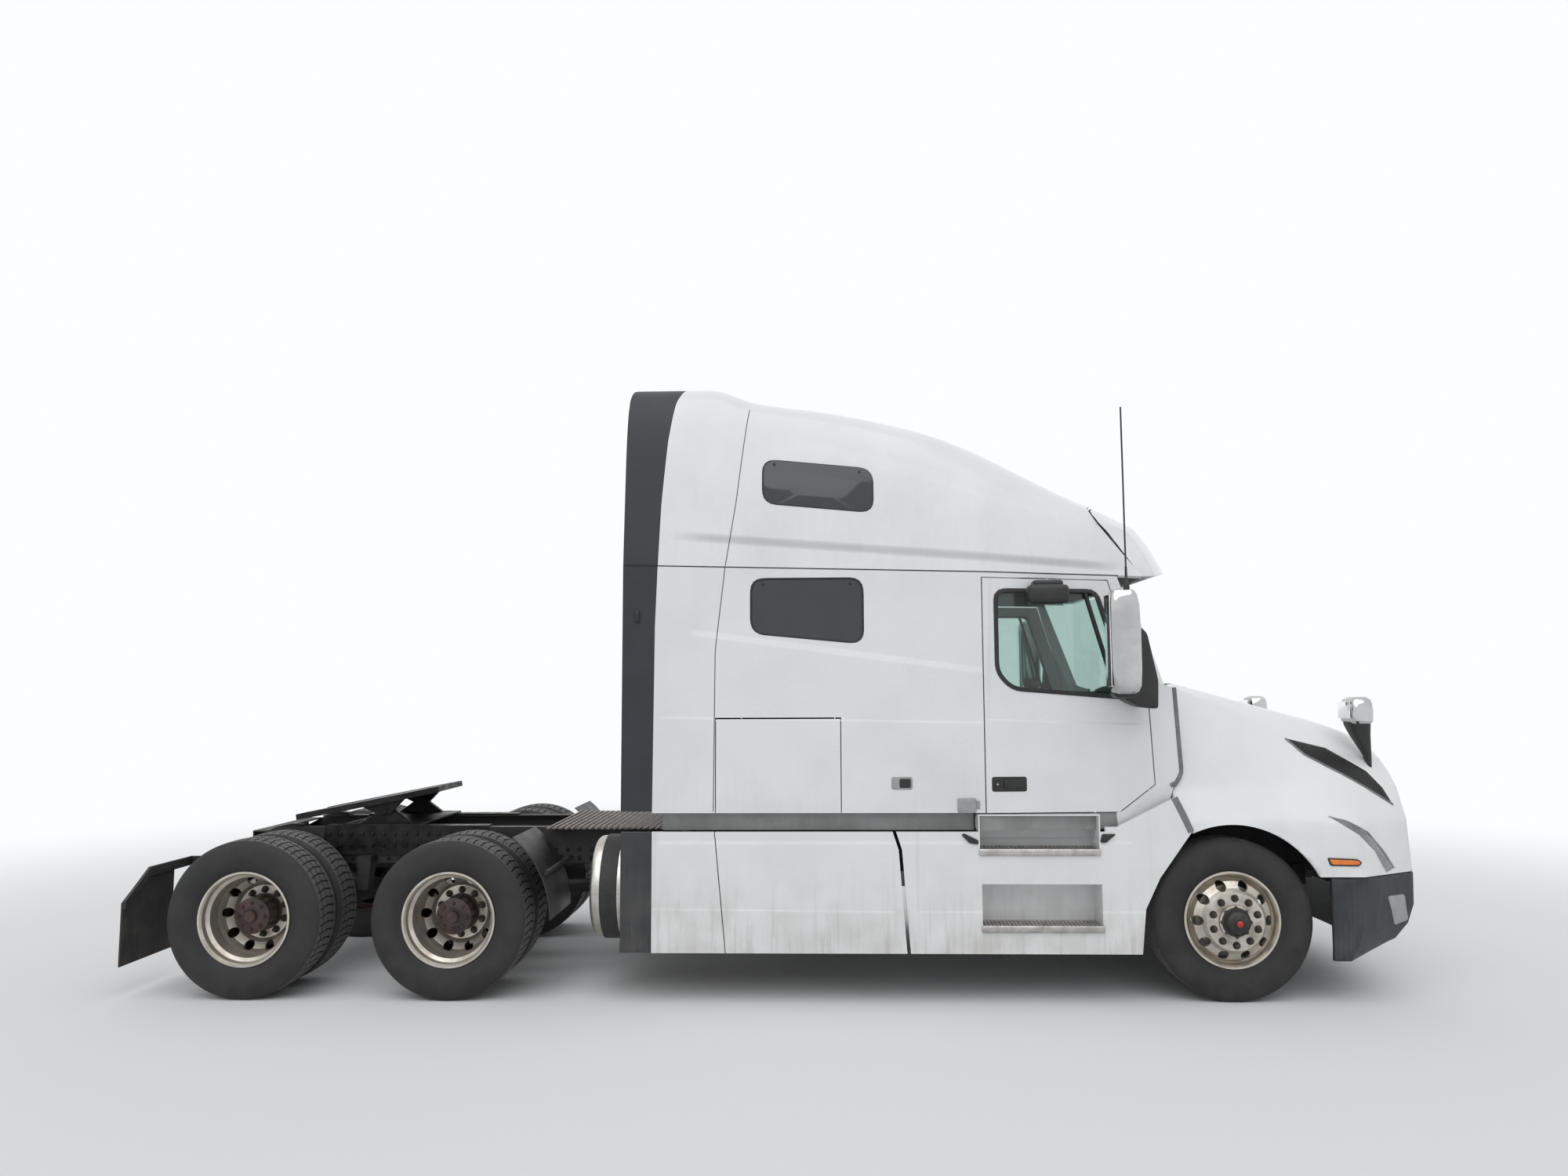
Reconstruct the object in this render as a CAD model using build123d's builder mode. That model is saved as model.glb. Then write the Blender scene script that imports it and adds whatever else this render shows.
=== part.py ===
"""Three-axle tractor unit with a high-roof sleeper cab.

X points forward, Y to the truck's left, Z up, all in millimetres. The origin is on
the ground under the middle of the whole length. Places along the truck are given by
their distance behind the steer axle, and aft() turns such a distance into X.
"""
from build123d import *
import os
from math import atan2, cos, hypot, radians, sin

os.makedirs("parts", exist_ok=True)

# Overall
WHEELBASE = 5600          # steer axle to the middle of the tandem
TANDEM_SPACING = 1320
FRONT_OVERHANG = 1380     # steer axle to the nose
REAR_OVERHANG = 1460      # middle of the tandem to the tips of the mud flaps
ROOF_Z = 4050
BODY_HALF = 1220          # half the width over the cab sides
TYRE_R = 500

LENGTH = FRONT_OVERHANG + WHEELBASE + REAR_OVERHANG
STEER_X = LENGTH / 2 - FRONT_OVERHANG


def aft(distance):
    return STEER_X - distance


DRIVE_AFT = [WHEELBASE - TANDEM_SPACING / 2, WHEELBASE + TANDEM_SPACING / 2]
TAIL_AFT = WHEELBASE + REAR_OVERHANG

# Frame
RAIL_HALF = 430           # outer face of each rail's web
RAIL_FLANGE = 90
RAIL_WALL = 8
RAIL_BOTTOM = 740
RAIL_TOP = 990
RAIL_REAR_AFT = 6700
RAIL_FRONT_AFT = -1050
RAIL_TAIL_RUN = 250       # length of the sloped tail
RAIL_TAIL_DROP = 130
MEMBER_AFTS = [1900, 3000, 4250, 5600, 6560]
MEMBER_WIDTH = 110
MEMBER_HEIGHT = 200
MEMBER_WALL = 10
BEAM_AFTS = [720, 1660, 2260, 3450]   # beams under the cab
POST_AFTS = [720, 3450]
BEAM_WIDTH = 60
BEAM_HEIGHT = 35
POST_SIDE = 100
POST_Y = 385
BRACKET_Y = 390           # plates that carry the bumper
BRACKET_T = 20
BRACKET_BOTTOM = 600
BRACKET_TOP = 765
SEAT_GAP = 0.3            # gap left where two seated pieces meet

# Power unit
ENGINE_FRONT_AFT = -880
ENGINE_REAR_AFT = 340
ENGINE_HALF = 330
ENGINE_BOTTOM = 620
ENGINE_TOP = 1550
ENGINE_EDGE = 60
GEARBOX_REAR_AFT = 1500
GEARBOX_HALF = 220
GEARBOX_BOTTOM = 580
GEARBOX_TOP = 960
ENGINE_MOUNT = 130
RADIATOR_FRONT_AFT = -1100
RADIATOR_T = 130
RADIATOR_HALF = 450
RADIATOR_LOW_HALF = 320
RADIATOR_BOTTOM = 600
RADIATOR_TOP = 1400

# Front axle and steering
KINGPIN_Y = 880
KINGPIN_R = 22
KINGPIN_CLEARANCE = 0.05
EYE_R = 48
EYE_HEIGHT = 120
AXLE_BEAM_WIDTH = 90
AXLE_DROP_BOTTOM = 385
AXLE_DROP_TOP = 495
AXLE_DROP_HALF = 550
EAR_T = 46
EAR_R = 46
YOKE_Y = 935
YOKE_T = 40
YOKE_HALF = 60
SPINDLE_R = 38
SPINDLE_CLEARANCE = 0.05
SPINDLE_TIP = 120         # beyond the middle of the steer tyre
SHIELD_R = 190
SHIELD_T = 10
STEER_ARM = 190
STEER_ARM_WIDTH = 50
STEER_ARM_T = 28
TIE_PIN_R = 12
TIE_EYE_R = 26
TIE_EYE_T = 34
TIE_ROD_R = 17
TIE_OPEN_CLEARANCE = 1    # round the left pin, where the linkage is left open

# Wheels
STEER_TYRE_Y = 1030
OUTER_TYRE_Y = 1075
DUAL_SPACING = 335
FLANGE_R = 299
RIM_HALF = 118
DISC_FACE = 168           # offset from the rim's middle to the hub face
DISC_T = 12
STUD_PCD = 285.75
STUD_COUNT = 10
HAND_HOLE_PITCH_R = 220
HAND_HOLE_R = 31
TYRE_HALF = 140
DRUM_R = 210
DRUM_WALL = 12
HUB_R = 102
STEER_CAP_R = 64
STEER_CAP_REACH = 232
DRIVE_SPINDLE_R = 50
DRIVE_HUB_REACH = 190
AXLE_TUBE_R = 65
AXLE_TUBE_HALF = 600
BOWL_R = 205

# Suspension
LEAF_Y = 410
LEAF_WIDTH = 90
LEAF_T = 46
LEAF_FRONT = 760
LEAF_REAR = 700
LEAF_EYE_Z = 655
HANGER_LENGTH = 90
ARM_Y = 480
ARM_WIDTH = 80
AIR_SPRING_R = 105
AIR_SPRING_Y = 455
AIR_SPRING_AFT = 400

# Skirts
SKIRT_T = 30
SKIRT_BOTTOM = 306
SKIRT_TOP = 1052

# Tanks
TANK_R = 325
TANK_CLEARANCE = 6        # strap bands to the skirts
TANK_Z = 660
TANK_FRONT_AFT = 2380
TANK_REAR_AFT = 4050
TANK_CROWN = 45
BAND_WIDTH = 62
BAND_T = 4
TANK_Y = BODY_HALF - SKIRT_T - TANK_CLEARANCE - BAND_T - TANK_R
BAND_AFTS = [2600, 3230, 3860]

# Cab
CAB_FRONT_AFT = 400
DOOR_REAR_AFT = 1525
CAB_REAR_AFT = 3640
EXTENDER_REAR_AFT = 3840
CAB_BOTTOM = 1170
WALL = 50
FLOOR_T = 60
SEAM_REAR_Z = 2755        # roof seam at the extender's rear edge
SEAM_DOOR_Z = 2697        # at the door's rear edge
SEAM_FRONT_Z = 2665       # at the windscreen
TAPER = 90                # how far the cab side draws in from the door's rear edge to the cowl
DOOR_GAP = 8
COWL_Z = 1930
PANEL_GAP = 6

# Doors, drawn as (distance behind the steer axle, height) in the tapered plane
DOOR_T = 55
DOOR_POINTS = [
    (DOOR_REAR_AFT, CAB_BOTTOM), (DOOR_REAR_AFT, 2657), (715, 2638), (471, 1813), (449, 1339),
    (679, CAB_BOTTOM),
]
DOOR_WINDOW = [(1440, 2575), (790, 2570), (585, 1890), (690, 1895), (1344, 1949), (1440, 2050)]
GLASS_T = 6
LUGGAGE_FRONT_AFT = 2436
LUGGAGE_REAR_AFT = 3240
LUGGAGE_TOP = 1770
LOWER_WINDOW = [(3010, 2310), (3010, 2660), (2290, 2660), (2290, 2240)]
UPPER_WINDOW = [(2934, 3165), (2934, 3460), (2216, 3390), (2216, 3097)]
WINDOW_CORNER = 80

DOOR_HINGE_AFT = 485
DOOR_HINGE_Y = BODY_HALF - 95
DOOR_PIN_R = 5
DOOR_PINS = [(1285, 1345), (1830, 1960)]
# Pockets in the pillar, where the door's leaning edges turn past the pins: low, high, radius
HINGE_POCKETS = [(1302, 1330, 18), (1813, 1950, 24)]
LUGGAGE_HINGE_IN = 11     # from the door's top and outer faces
LUGGAGE_TOP_GAP = 10
LUGGAGE_PIN_R = 4
LUGGAGE_PIN_REACH = 26
PIN_CLEARANCE = 0.05

# Hood hinge
HOOD_HINGE_AFT = -1363
HOOD_HINGE_Z = 700
HOOD_LUG_Y = 200
HOOD_LUG_T = 30
HOOD_EAR_T = 18
HOOD_PIN_R = 8
EAR_REACH = 73            # hinge pin to the rear face of the bar that carries the ears
HINGE_BAR = 20

# Fifth wheel
KINGPIN_SEAT_R = 25.5
PIVOT_AFT = 5680
PIVOT_Z = 1100
PLATE_TILT = 10.8
PLATE_TOP = 95
PLATE_T = 40
PLATE_HALF = 460
PLATE_FRONT = 360
PLATE_REAR = 660
PIVOT_PIN_R = 20
PIVOT_CLEARANCE = 0.05
PEDESTAL_Y = 350
PEDESTAL_T = 40
LUG_T = 30


def save(part, name):
    part.label = name
    export_step(part, f"parts/{name}.step")


def side_outline(points, mode=Mode.ADD):
    """Closed outline from (distance behind the steer axle, height) pairs."""
    Polygon(*[(aft(a), z) for a, z in points], align=None, mode=mode)


def seam_z(a):
    """Height of the seam between the cab side and the roof cap."""
    if a > DOOR_REAR_AFT:
        share = (a - DOOR_REAR_AFT) / (EXTENDER_REAR_AFT - DOOR_REAR_AFT)
        return SEAM_DOOR_Z + share * (SEAM_REAR_Z - SEAM_DOOR_Z)
    share = (a - CAB_FRONT_AFT) / (DOOR_REAR_AFT - CAB_FRONT_AFT)
    return SEAM_FRONT_Z + share * (SEAM_DOOR_Z - SEAM_FRONT_Z)


# Frame rails
with BuildPart() as frame_rails:
    with BuildSketch(Plane.YZ.offset(aft(RAIL_REAR_AFT))):
        with Locations((RAIL_HALF - RAIL_FLANGE / 2, (RAIL_BOTTOM + RAIL_TOP) / 2)):
            Rectangle(RAIL_FLANGE, RAIL_TOP - RAIL_BOTTOM)
        with Locations((RAIL_HALF - RAIL_WALL - RAIL_FLANGE / 2, (RAIL_BOTTOM + RAIL_TOP) / 2)):
            Rectangle(RAIL_FLANGE, RAIL_TOP - RAIL_BOTTOM - 2 * RAIL_WALL, mode=Mode.SUBTRACT)
    extrude(amount=RAIL_REAR_AFT - RAIL_FRONT_AFT)
    with BuildSketch(Plane.XZ):
        side_outline([
            (RAIL_REAR_AFT, RAIL_TOP),
            (RAIL_REAR_AFT - RAIL_TAIL_RUN, RAIL_TOP),
            (RAIL_REAR_AFT, RAIL_TOP - RAIL_TAIL_DROP),
        ])
    extrude(amount=RAIL_HALF, both=True, mode=Mode.SUBTRACT)
    mirror(about=Plane.XZ)
save(frame_rails.part, "frame_rails")

# Engine, gearbox and radiator
with BuildPart() as power_unit:
    with BuildSketch(Plane.XZ):
        side_outline([
            (ENGINE_FRONT_AFT, ENGINE_BOTTOM),
            (ENGINE_REAR_AFT, ENGINE_BOTTOM),
            (ENGINE_REAR_AFT, ENGINE_TOP),
            (ENGINE_FRONT_AFT, ENGINE_TOP),
        ])
    extrude(amount=ENGINE_HALF, both=True)
    chamfer(power_unit.edges().filter_by(Axis.X), ENGINE_EDGE)
    gearbox_length = GEARBOX_REAR_AFT - ENGINE_REAR_AFT
    with Locations((aft(ENGINE_REAR_AFT + gearbox_length / 2), 0, (GEARBOX_BOTTOM + GEARBOX_TOP) / 2)):
        Box(gearbox_length, 2 * GEARBOX_HALF, GEARBOX_TOP - GEARBOX_BOTTOM)
    mount_a = (ENGINE_FRONT_AFT + ENGINE_REAR_AFT) / 2
    with Locations((aft(mount_a), 0, (RAIL_BOTTOM + RAIL_TOP) / 2)):
        Box(ENGINE_MOUNT, 2 * (RAIL_HALF - RAIL_WALL), ENGINE_MOUNT)
    radiator_x = aft(RADIATOR_FRONT_AFT) - RADIATOR_T / 2
    with Locations((radiator_x, 0, (RAIL_TOP + RADIATOR_TOP) / 2)):
        Box(RADIATOR_T, 2 * RADIATOR_HALF, RADIATOR_TOP - RAIL_TOP)
    with Locations((radiator_x, 0, (RAIL_TOP + RADIATOR_BOTTOM) / 2)):
        Box(RADIATOR_T, 2 * RADIATOR_LOW_HALF, RAIL_TOP - RADIATOR_BOTTOM)
save(power_unit.part, "engine_and_radiator")

# Front axle beam with its kingpin eyes
with BuildPart() as front_axle:
    with BuildSketch(Plane.YZ.offset(STEER_X - AXLE_BEAM_WIDTH / 2)):
        with BuildLine():
            eye_low = TYRE_R - EYE_HEIGHT / 2
            eye_high = TYRE_R + EYE_HEIGHT / 2
            Polyline(
                (0, AXLE_DROP_BOTTOM),
                (AXLE_DROP_HALF, AXLE_DROP_BOTTOM),
                (AXLE_DROP_HALF + 170, eye_low),
                (KINGPIN_Y, eye_low),
                (KINGPIN_Y, eye_high),
                (AXLE_DROP_HALF + 150, eye_high),
                (AXLE_DROP_HALF, AXLE_DROP_TOP),
                (0, AXLE_DROP_TOP),
                close=True,
            )
        make_face()
    extrude(amount=AXLE_BEAM_WIDTH)
    with BuildSketch(Plane.XY.offset(eye_low)):
        with Locations((STEER_X, KINGPIN_Y)):
            Circle(EYE_R)
    extrude(amount=EYE_HEIGHT)
    with BuildSketch(Plane.XY.offset(eye_low)):
        with Locations((STEER_X, KINGPIN_Y)):
            Circle(KINGPIN_R + KINGPIN_CLEARANCE)
    extrude(amount=EYE_HEIGHT, mode=Mode.SUBTRACT)
    mirror(about=Plane.XZ)
save(front_axle.part, "front_axle")

# Steering knuckles: fork, kingpin, spindle, brake shield and steering arm
ear_low = eye_low - SEAT_GAP - EAR_T
ear_high = eye_high + SEAT_GAP
arm_low = ear_low + (EAR_T - STEER_ARM_T) / 2
tie_pin_low = arm_low - TIE_EYE_T - 2 * SEAT_GAP
with BuildPart() as knuckle:
    for z in (ear_low, ear_high):
        with BuildSketch(Plane.XY.offset(z)):
            with Locations((STEER_X, KINGPIN_Y)):
                Circle(EAR_R)
            with Locations((STEER_X, (KINGPIN_Y + YOKE_Y + YOKE_T) / 2)):
                Rectangle(2 * EAR_R, YOKE_Y + YOKE_T - KINGPIN_Y)
        extrude(amount=EAR_T)
    with BuildSketch(Plane.XY.offset(ear_low)):
        with Locations((STEER_X, KINGPIN_Y)):
            Circle(KINGPIN_R)
        with Locations((STEER_X, YOKE_Y + YOKE_T / 2)):
            Rectangle(2 * YOKE_HALF, YOKE_T)
    extrude(amount=ear_high + EAR_T - ear_low)
    with BuildSketch(Plane.XZ.offset(-YOKE_Y)):
        with Locations((STEER_X, TYRE_R)):
            Circle(SPINDLE_R)
    extrude(amount=YOKE_Y - STEER_TYRE_Y - SPINDLE_TIP)
    with BuildSketch(Plane.XZ.offset(-YOKE_Y - YOKE_T)):
        with Locations((STEER_X, TYRE_R)):
            Circle(SHIELD_R)
    extrude(amount=SHIELD_T)
    with BuildSketch(Plane.XY.offset(arm_low)):
        with Locations((STEER_X - STEER_ARM / 2, KINGPIN_Y)):
            SlotCenterToCenter(STEER_ARM, STEER_ARM_WIDTH)
    extrude(amount=STEER_ARM_T)
    with BuildSketch(Plane.XY.offset(tie_pin_low)):
        with Locations((STEER_X - STEER_ARM, KINGPIN_Y)):
            Circle(TIE_PIN_R)
    extrude(amount=arm_low - tie_pin_low)
save(knuckle.part, "knuckle_left")
save(mirror(knuckle.part, about=Plane.XZ), "knuckle_right")

# Tie rod with an eye on each steering arm
with BuildPart() as tie_rod:
    tie_z = arm_low - SEAT_GAP - TIE_EYE_T / 2
    with Locations((STEER_X - STEER_ARM, 0, tie_z)):
        Cylinder(TIE_ROD_R, 2 * KINGPIN_Y, rotation=(90, 0, 0))
    with BuildSketch(Plane.XY.offset(tie_z - TIE_EYE_T / 2)):
        for y in (-KINGPIN_Y, KINGPIN_Y):
            with Locations((STEER_X - STEER_ARM, y)):
                Circle(TIE_EYE_R)
    extrude(amount=TIE_EYE_T)
    with BuildSketch(Plane.XY.offset(tie_z - TIE_EYE_T / 2)):
        with Locations((STEER_X - STEER_ARM, -KINGPIN_Y)):
            Circle(TIE_PIN_R + KINGPIN_CLEARANCE)
        with Locations((STEER_X - STEER_ARM, KINGPIN_Y)):
            Circle(TIE_PIN_R + TIE_OPEN_CLEARANCE)
    extrude(amount=TIE_EYE_T, mode=Mode.SUBTRACT)
save(tie_rod.part, "tie_rod")


# Wheels. Profiles are drawn as (radius, offset along the axle from the rim's middle).
def wheel_plane(axle_aft, y):
    return Plane(origin=(aft(axle_aft), y, TYRE_R), x_dir=(0, 0, 1), z_dir=(-1, 0, 0))


def axle_axis(axle_aft):
    return Axis((aft(axle_aft), 0, TYRE_R), (0, 1, 0))


RIM_BARREL = [
    (FLANGE_R, RIM_HALF),
    (FLANGE_R, RIM_HALF - 8),
    (FLANGE_R - 11, RIM_HALF - 14),
    (FLANGE_R - 15, RIM_HALF - 54),
    (FLANGE_R - 35, RIM_HALF - 74),
]
RIM_INSIDE = [
    (FLANGE_R - 13, RIM_HALF),
    (FLANGE_R - 22, RIM_HALF - 14),
    (FLANGE_R - 25, RIM_HALF - 52),
    (FLANGE_R - 45, RIM_HALF - 70),
]


def rim_face(outward):
    """Rim barrel with its disc, which bulges towards outward, +1 or -1."""
    outer_path = RIM_BARREL + [(r, -y) for r, y in reversed(RIM_BARREL)]
    inner_path = [(r, -y) for r, y in RIM_INSIDE] + list(reversed(RIM_INSIDE))
    Polygon(*outer_path, *inner_path, align=None)
    disc = [
        (FLANGE_R - 40, 44), (FLANGE_R - 40, 60), (240, 112), (200, 140), (178, DISC_FACE), (HUB_R - 20, DISC_FACE),
        (HUB_R - 20, DISC_FACE - DISC_T), (172, DISC_FACE - DISC_T), (192, 130), (230, 100),
    ]
    Polygon(*[(r, outward * y) for r, y in disc], align=None)


def tyre_face():
    half = TYRE_HALF
    outer = [
        (FLANGE_R - 10.5, RIM_HALF - 40), (FLANGE_R - 10.5, RIM_HALF - 15), (FLANGE_R + 1, RIM_HALF - 8.5),
        (350, half - 6), (400, half), (450, half - 5), (482, half - 18), (TYRE_R, half - 36),
    ]
    inner = [(TYRE_R - 24, half - 48), (450, half - 24), (400, half - 18), (340, half - 26)]
    outer_path = outer + [(r, -y) for r, y in reversed(outer)]
    inner_path = [(r, -y) for r, y in reversed(inner)] + inner
    Polygon(*outer_path, *inner_path, align=None)


def hand_holes(axle_aft, y_low, y_high):
    with BuildSketch(Plane.XZ.offset(-y_high)) as holes:
        with Locations((aft(axle_aft), TYRE_R)):
            with PolarLocations(HAND_HOLE_PITCH_R, STUD_COUNT):
                Circle(HAND_HOLE_R)
    extrude(holes.sketch, amount=y_high - y_low, mode=Mode.SUBTRACT)


with BuildPart() as steer_wheel:
    with BuildSketch(wheel_plane(0, STEER_TYRE_Y)):
        rim_face(1)
        bore_r = SPINDLE_R + SPINDLE_CLEARANCE
        hub = [
            (bore_r, -25), (HUB_R, -25), (HUB_R, DISC_FACE + 12), (STEER_CAP_R, DISC_FACE + 20),
            (STEER_CAP_R, STEER_CAP_REACH - 6), (STEER_CAP_R - 6, STEER_CAP_REACH), (0, STEER_CAP_REACH),
            (0, SPINDLE_TIP + 2), (bore_r, SPINDLE_TIP + 2),
        ]
        Polygon(*hub, align=None)
        drum = [
            (HUB_R - 4, 62), (DRUM_R, 62), (DRUM_R, -30), (DRUM_R - DRUM_WALL, -30),
            (DRUM_R - DRUM_WALL, 62 - DRUM_WALL), (HUB_R - 4, 62 - DRUM_WALL),
        ]
        Polygon(*drum, align=None)
    revolve(axis=axle_axis(0))
    hand_holes(0, STEER_TYRE_Y + 63, STEER_TYRE_Y + DISC_FACE)
save(steer_wheel.part, "steer_wheel_left")
save(mirror(steer_wheel.part, about=Plane.XZ), "steer_wheel_right")

with BuildPart() as steer_tyre:
    with BuildSketch(wheel_plane(0, STEER_TYRE_Y)):
        tyre_face()
    revolve(axis=axle_axis(0))
save(steer_tyre.part, "steer_tyre_left")
save(mirror(steer_tyre.part, about=Plane.XZ), "steer_tyre_right")

INNER_TYRE_Y = OUTER_TYRE_Y - DUAL_SPACING
drive_face_y = OUTER_TYRE_Y - DISC_FACE
for axle_name, axle_aft in zip(("front", "rear"), DRIVE_AFT):
    with BuildPart() as drive_wheel:
        with BuildSketch(wheel_plane(axle_aft, OUTER_TYRE_Y)):
            rim_face(-1)
        with BuildSketch(wheel_plane(axle_aft, INNER_TYRE_Y)):
            rim_face(1)
        with BuildSketch(wheel_plane(axle_aft, drive_face_y)):
            bore_r = DRIVE_SPINDLE_R + SPINDLE_CLEARANCE
            hub_inner = AXLE_TUBE_HALF + 12 - drive_face_y
            hub = [
                (bore_r, hub_inner), (HUB_R, hub_inner), (HUB_R, DRIVE_HUB_REACH - 40),
                (HUB_R + 12, DRIVE_HUB_REACH - 36), (HUB_R + 12, DRIVE_HUB_REACH - 16),
                (60, DRIVE_HUB_REACH), (0, DRIVE_HUB_REACH), (0, DRIVE_HUB_REACH - 60),
                (bore_r, DRIVE_HUB_REACH - 60),
            ]
            Polygon(*hub, align=None)
            drum_out = -100
            drum_in = hub_inner + 40
            drum = [
                (HUB_R - 4, drum_out), (DRUM_R, drum_out), (DRUM_R, drum_in), (DRUM_R - DRUM_WALL, drum_in),
                (DRUM_R - DRUM_WALL, drum_out - DRUM_WALL), (HUB_R - 4, drum_out - DRUM_WALL),
            ]
            Polygon(*drum, align=None)
        revolve(axis=axle_axis(axle_aft))
        hand_holes(axle_aft, drive_face_y - 90, drive_face_y + 90)
    save(drive_wheel.part, f"drive_wheels_{axle_name}_left")
    save(mirror(drive_wheel.part, about=Plane.XZ), f"drive_wheels_{axle_name}_right")
    with BuildPart() as drive_tyres:
        for y in (OUTER_TYRE_Y, INNER_TYRE_Y):
            with BuildSketch(wheel_plane(axle_aft, y)):
                tyre_face()
        revolve(axis=axle_axis(axle_aft))
    save(drive_tyres.part, f"drive_tyres_{axle_name}_left")
    save(mirror(drive_tyres.part, about=Plane.XZ), f"drive_tyres_{axle_name}_right")


# Drive axles: tube, spindles, bowl and pinion nose, and the two propeller shafts
BOWL_DEPTH = 300
NOSE_REACH = 420
SHAFT_R = 50
SHAFT_START_Z = 700
with BuildPart() as drive_axles:
    for axle_aft in DRIVE_AFT:
        with Locations((aft(axle_aft), 0, TYRE_R)):
            Cylinder(AXLE_TUBE_R, 2 * AXLE_TUBE_HALF, rotation=(90, 0, 0))
            Cylinder(DRIVE_SPINDLE_R, 2 * (drive_face_y + DRIVE_HUB_REACH - 62), rotation=(90, 0, 0))
            Cylinder(BOWL_R, BOWL_DEPTH, rotation=(0, 90, 0))
        nose_length = NOSE_REACH - BOWL_DEPTH / 2
        with Locations((aft(axle_aft) + BOWL_DEPTH / 2 + nose_length / 2, 0, TYRE_R)):
            Cone(BOWL_R - 75, SHAFT_R + 12, nose_length, rotation=(0, 90, 0))
    shaft_ends = [
        ((aft(GEARBOX_REAR_AFT), SHAFT_START_Z), (aft(DRIVE_AFT[0] - NOSE_REACH), TYRE_R)),
        ((aft(DRIVE_AFT[0] + BOWL_DEPTH / 2), TYRE_R), (aft(DRIVE_AFT[1] - NOSE_REACH), TYRE_R)),
    ]
    for (x_front, z_front), (x_rear, z_rear) in shaft_ends:
        length = hypot(x_rear - x_front, z_rear - z_front)
        along = Vector(x_rear - x_front, 0, z_rear - z_front).normalized()
        start = Vector(x_front, 0, z_front) + along * (SEAT_GAP + SHAFT_R * abs(z_rear - z_front) / length)
        with BuildSketch(Plane(origin=start, z_dir=along)):
            Circle(SHAFT_R)
        extrude(amount=length - 2 * (start - Vector(x_front, 0, z_front)).length)
save(drive_axles.part, "drive_axles")

# Front leaf springs with hangers, rear arms with hangers, and air springs
ARM_POINTS = [
    (-500, 590), (-500, 650), (-80, 632), (70, 632), (270, 556), (505, 556),
    (505, 526), (250, 526), (70, TYRE_R + AXLE_TUBE_R + SEAT_GAP), (-80, TYRE_R + AXLE_TUBE_R + SEAT_GAP),
]
AIR_SPRING_SEAT = 556
ARM_HANGER_TOP = 798
with BuildPart() as suspension:
    with BuildSketch(Plane.XZ.offset(-LEAF_Y - LEAF_WIDTH / 2)):
        with BuildLine():
            leaf_top = ThreePointArc(
                (aft(-LEAF_FRONT), LEAF_EYE_Z), (aft(0), AXLE_DROP_TOP + LEAF_T), (aft(LEAF_REAR), LEAF_EYE_Z)
            )
            leaf_under = ThreePointArc(
                (aft(LEAF_REAR), LEAF_EYE_Z - LEAF_T), (aft(0), AXLE_DROP_TOP + 5),
                (aft(-LEAF_FRONT), LEAF_EYE_Z - LEAF_T),
            )
            Line(leaf_top @ 1, leaf_under @ 0)
            Line(leaf_under @ 1, leaf_top @ 0)
        make_face()
        with Locations((aft(0), AXLE_DROP_TOP + SEAT_GAP + LEAF_T / 2)):
            Rectangle(2 * LEAF_WIDTH, LEAF_T)
        for a in (-LEAF_FRONT + HANGER_LENGTH / 2, LEAF_REAR - HANGER_LENGTH / 2):
            with Locations((aft(a), (LEAF_EYE_Z - LEAF_T + RAIL_BOTTOM) / 2)):
                Rectangle(HANGER_LENGTH, RAIL_BOTTOM - LEAF_EYE_Z + LEAF_T)
    extrude(amount=LEAF_WIDTH)
    for axle_aft in DRIVE_AFT:
        with BuildSketch(Plane.XZ.offset(-ARM_Y - ARM_WIDTH / 2)):
            side_outline([(axle_aft + a, z) for a, z in ARM_POINTS])
        extrude(amount=ARM_WIDTH)
        hanger_y = ARM_Y + ARM_WIDTH / 2 + 10
        with BuildSketch(Plane.XZ.offset(-hanger_y)):
            side_outline([
                (axle_aft - 545, ARM_HANGER_TOP), (axle_aft - 450, ARM_HANGER_TOP),
                (axle_aft - 455, 570), (axle_aft - 530, 570),
            ])
        extrude(amount=hanger_y - RAIL_HALF)
    for axle_aft in DRIVE_AFT:
        with BuildSketch(Plane.XY.offset(AIR_SPRING_SEAT)):
            with Locations((aft(axle_aft + AIR_SPRING_AFT), AIR_SPRING_Y)):
                Circle(AIR_SPRING_R)
        extrude(amount=RAIL_BOTTOM - AIR_SPRING_SEAT)
    mirror(about=Plane.XZ)
save(suspension.part, "suspension")

# Fuel tanks with strap bands, each on brackets against its frame rail
with BuildPart() as fuel_tanks:
    tank_length = TANK_REAR_AFT - TANK_FRONT_AFT
    with Locations((aft((TANK_FRONT_AFT + TANK_REAR_AFT) / 2), TANK_Y, TANK_Z)):
        Cylinder(TANK_R, tank_length, rotation=(0, 90, 0))
    fillet(fuel_tanks.edges().filter_by(GeomType.CIRCLE), TANK_CROWN)
    for a in BAND_AFTS:
        with Locations((aft(a), TANK_Y, TANK_Z)):
            Cylinder(TANK_R + BAND_T, BAND_WIDTH, rotation=(0, 90, 0))
        with Locations((aft(a), (RAIL_HALF + TANK_Y - TANK_R + 80) / 2, (RAIL_TOP + TANK_Z) / 2 - 60)):
            Box(BAND_WIDTH, TANK_Y - TANK_R + 80 - RAIL_HALF, RAIL_TOP - TANK_Z - 60)
    mirror(about=Plane.XZ)
save(fuel_tanks.part, "fuel_tanks")

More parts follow.
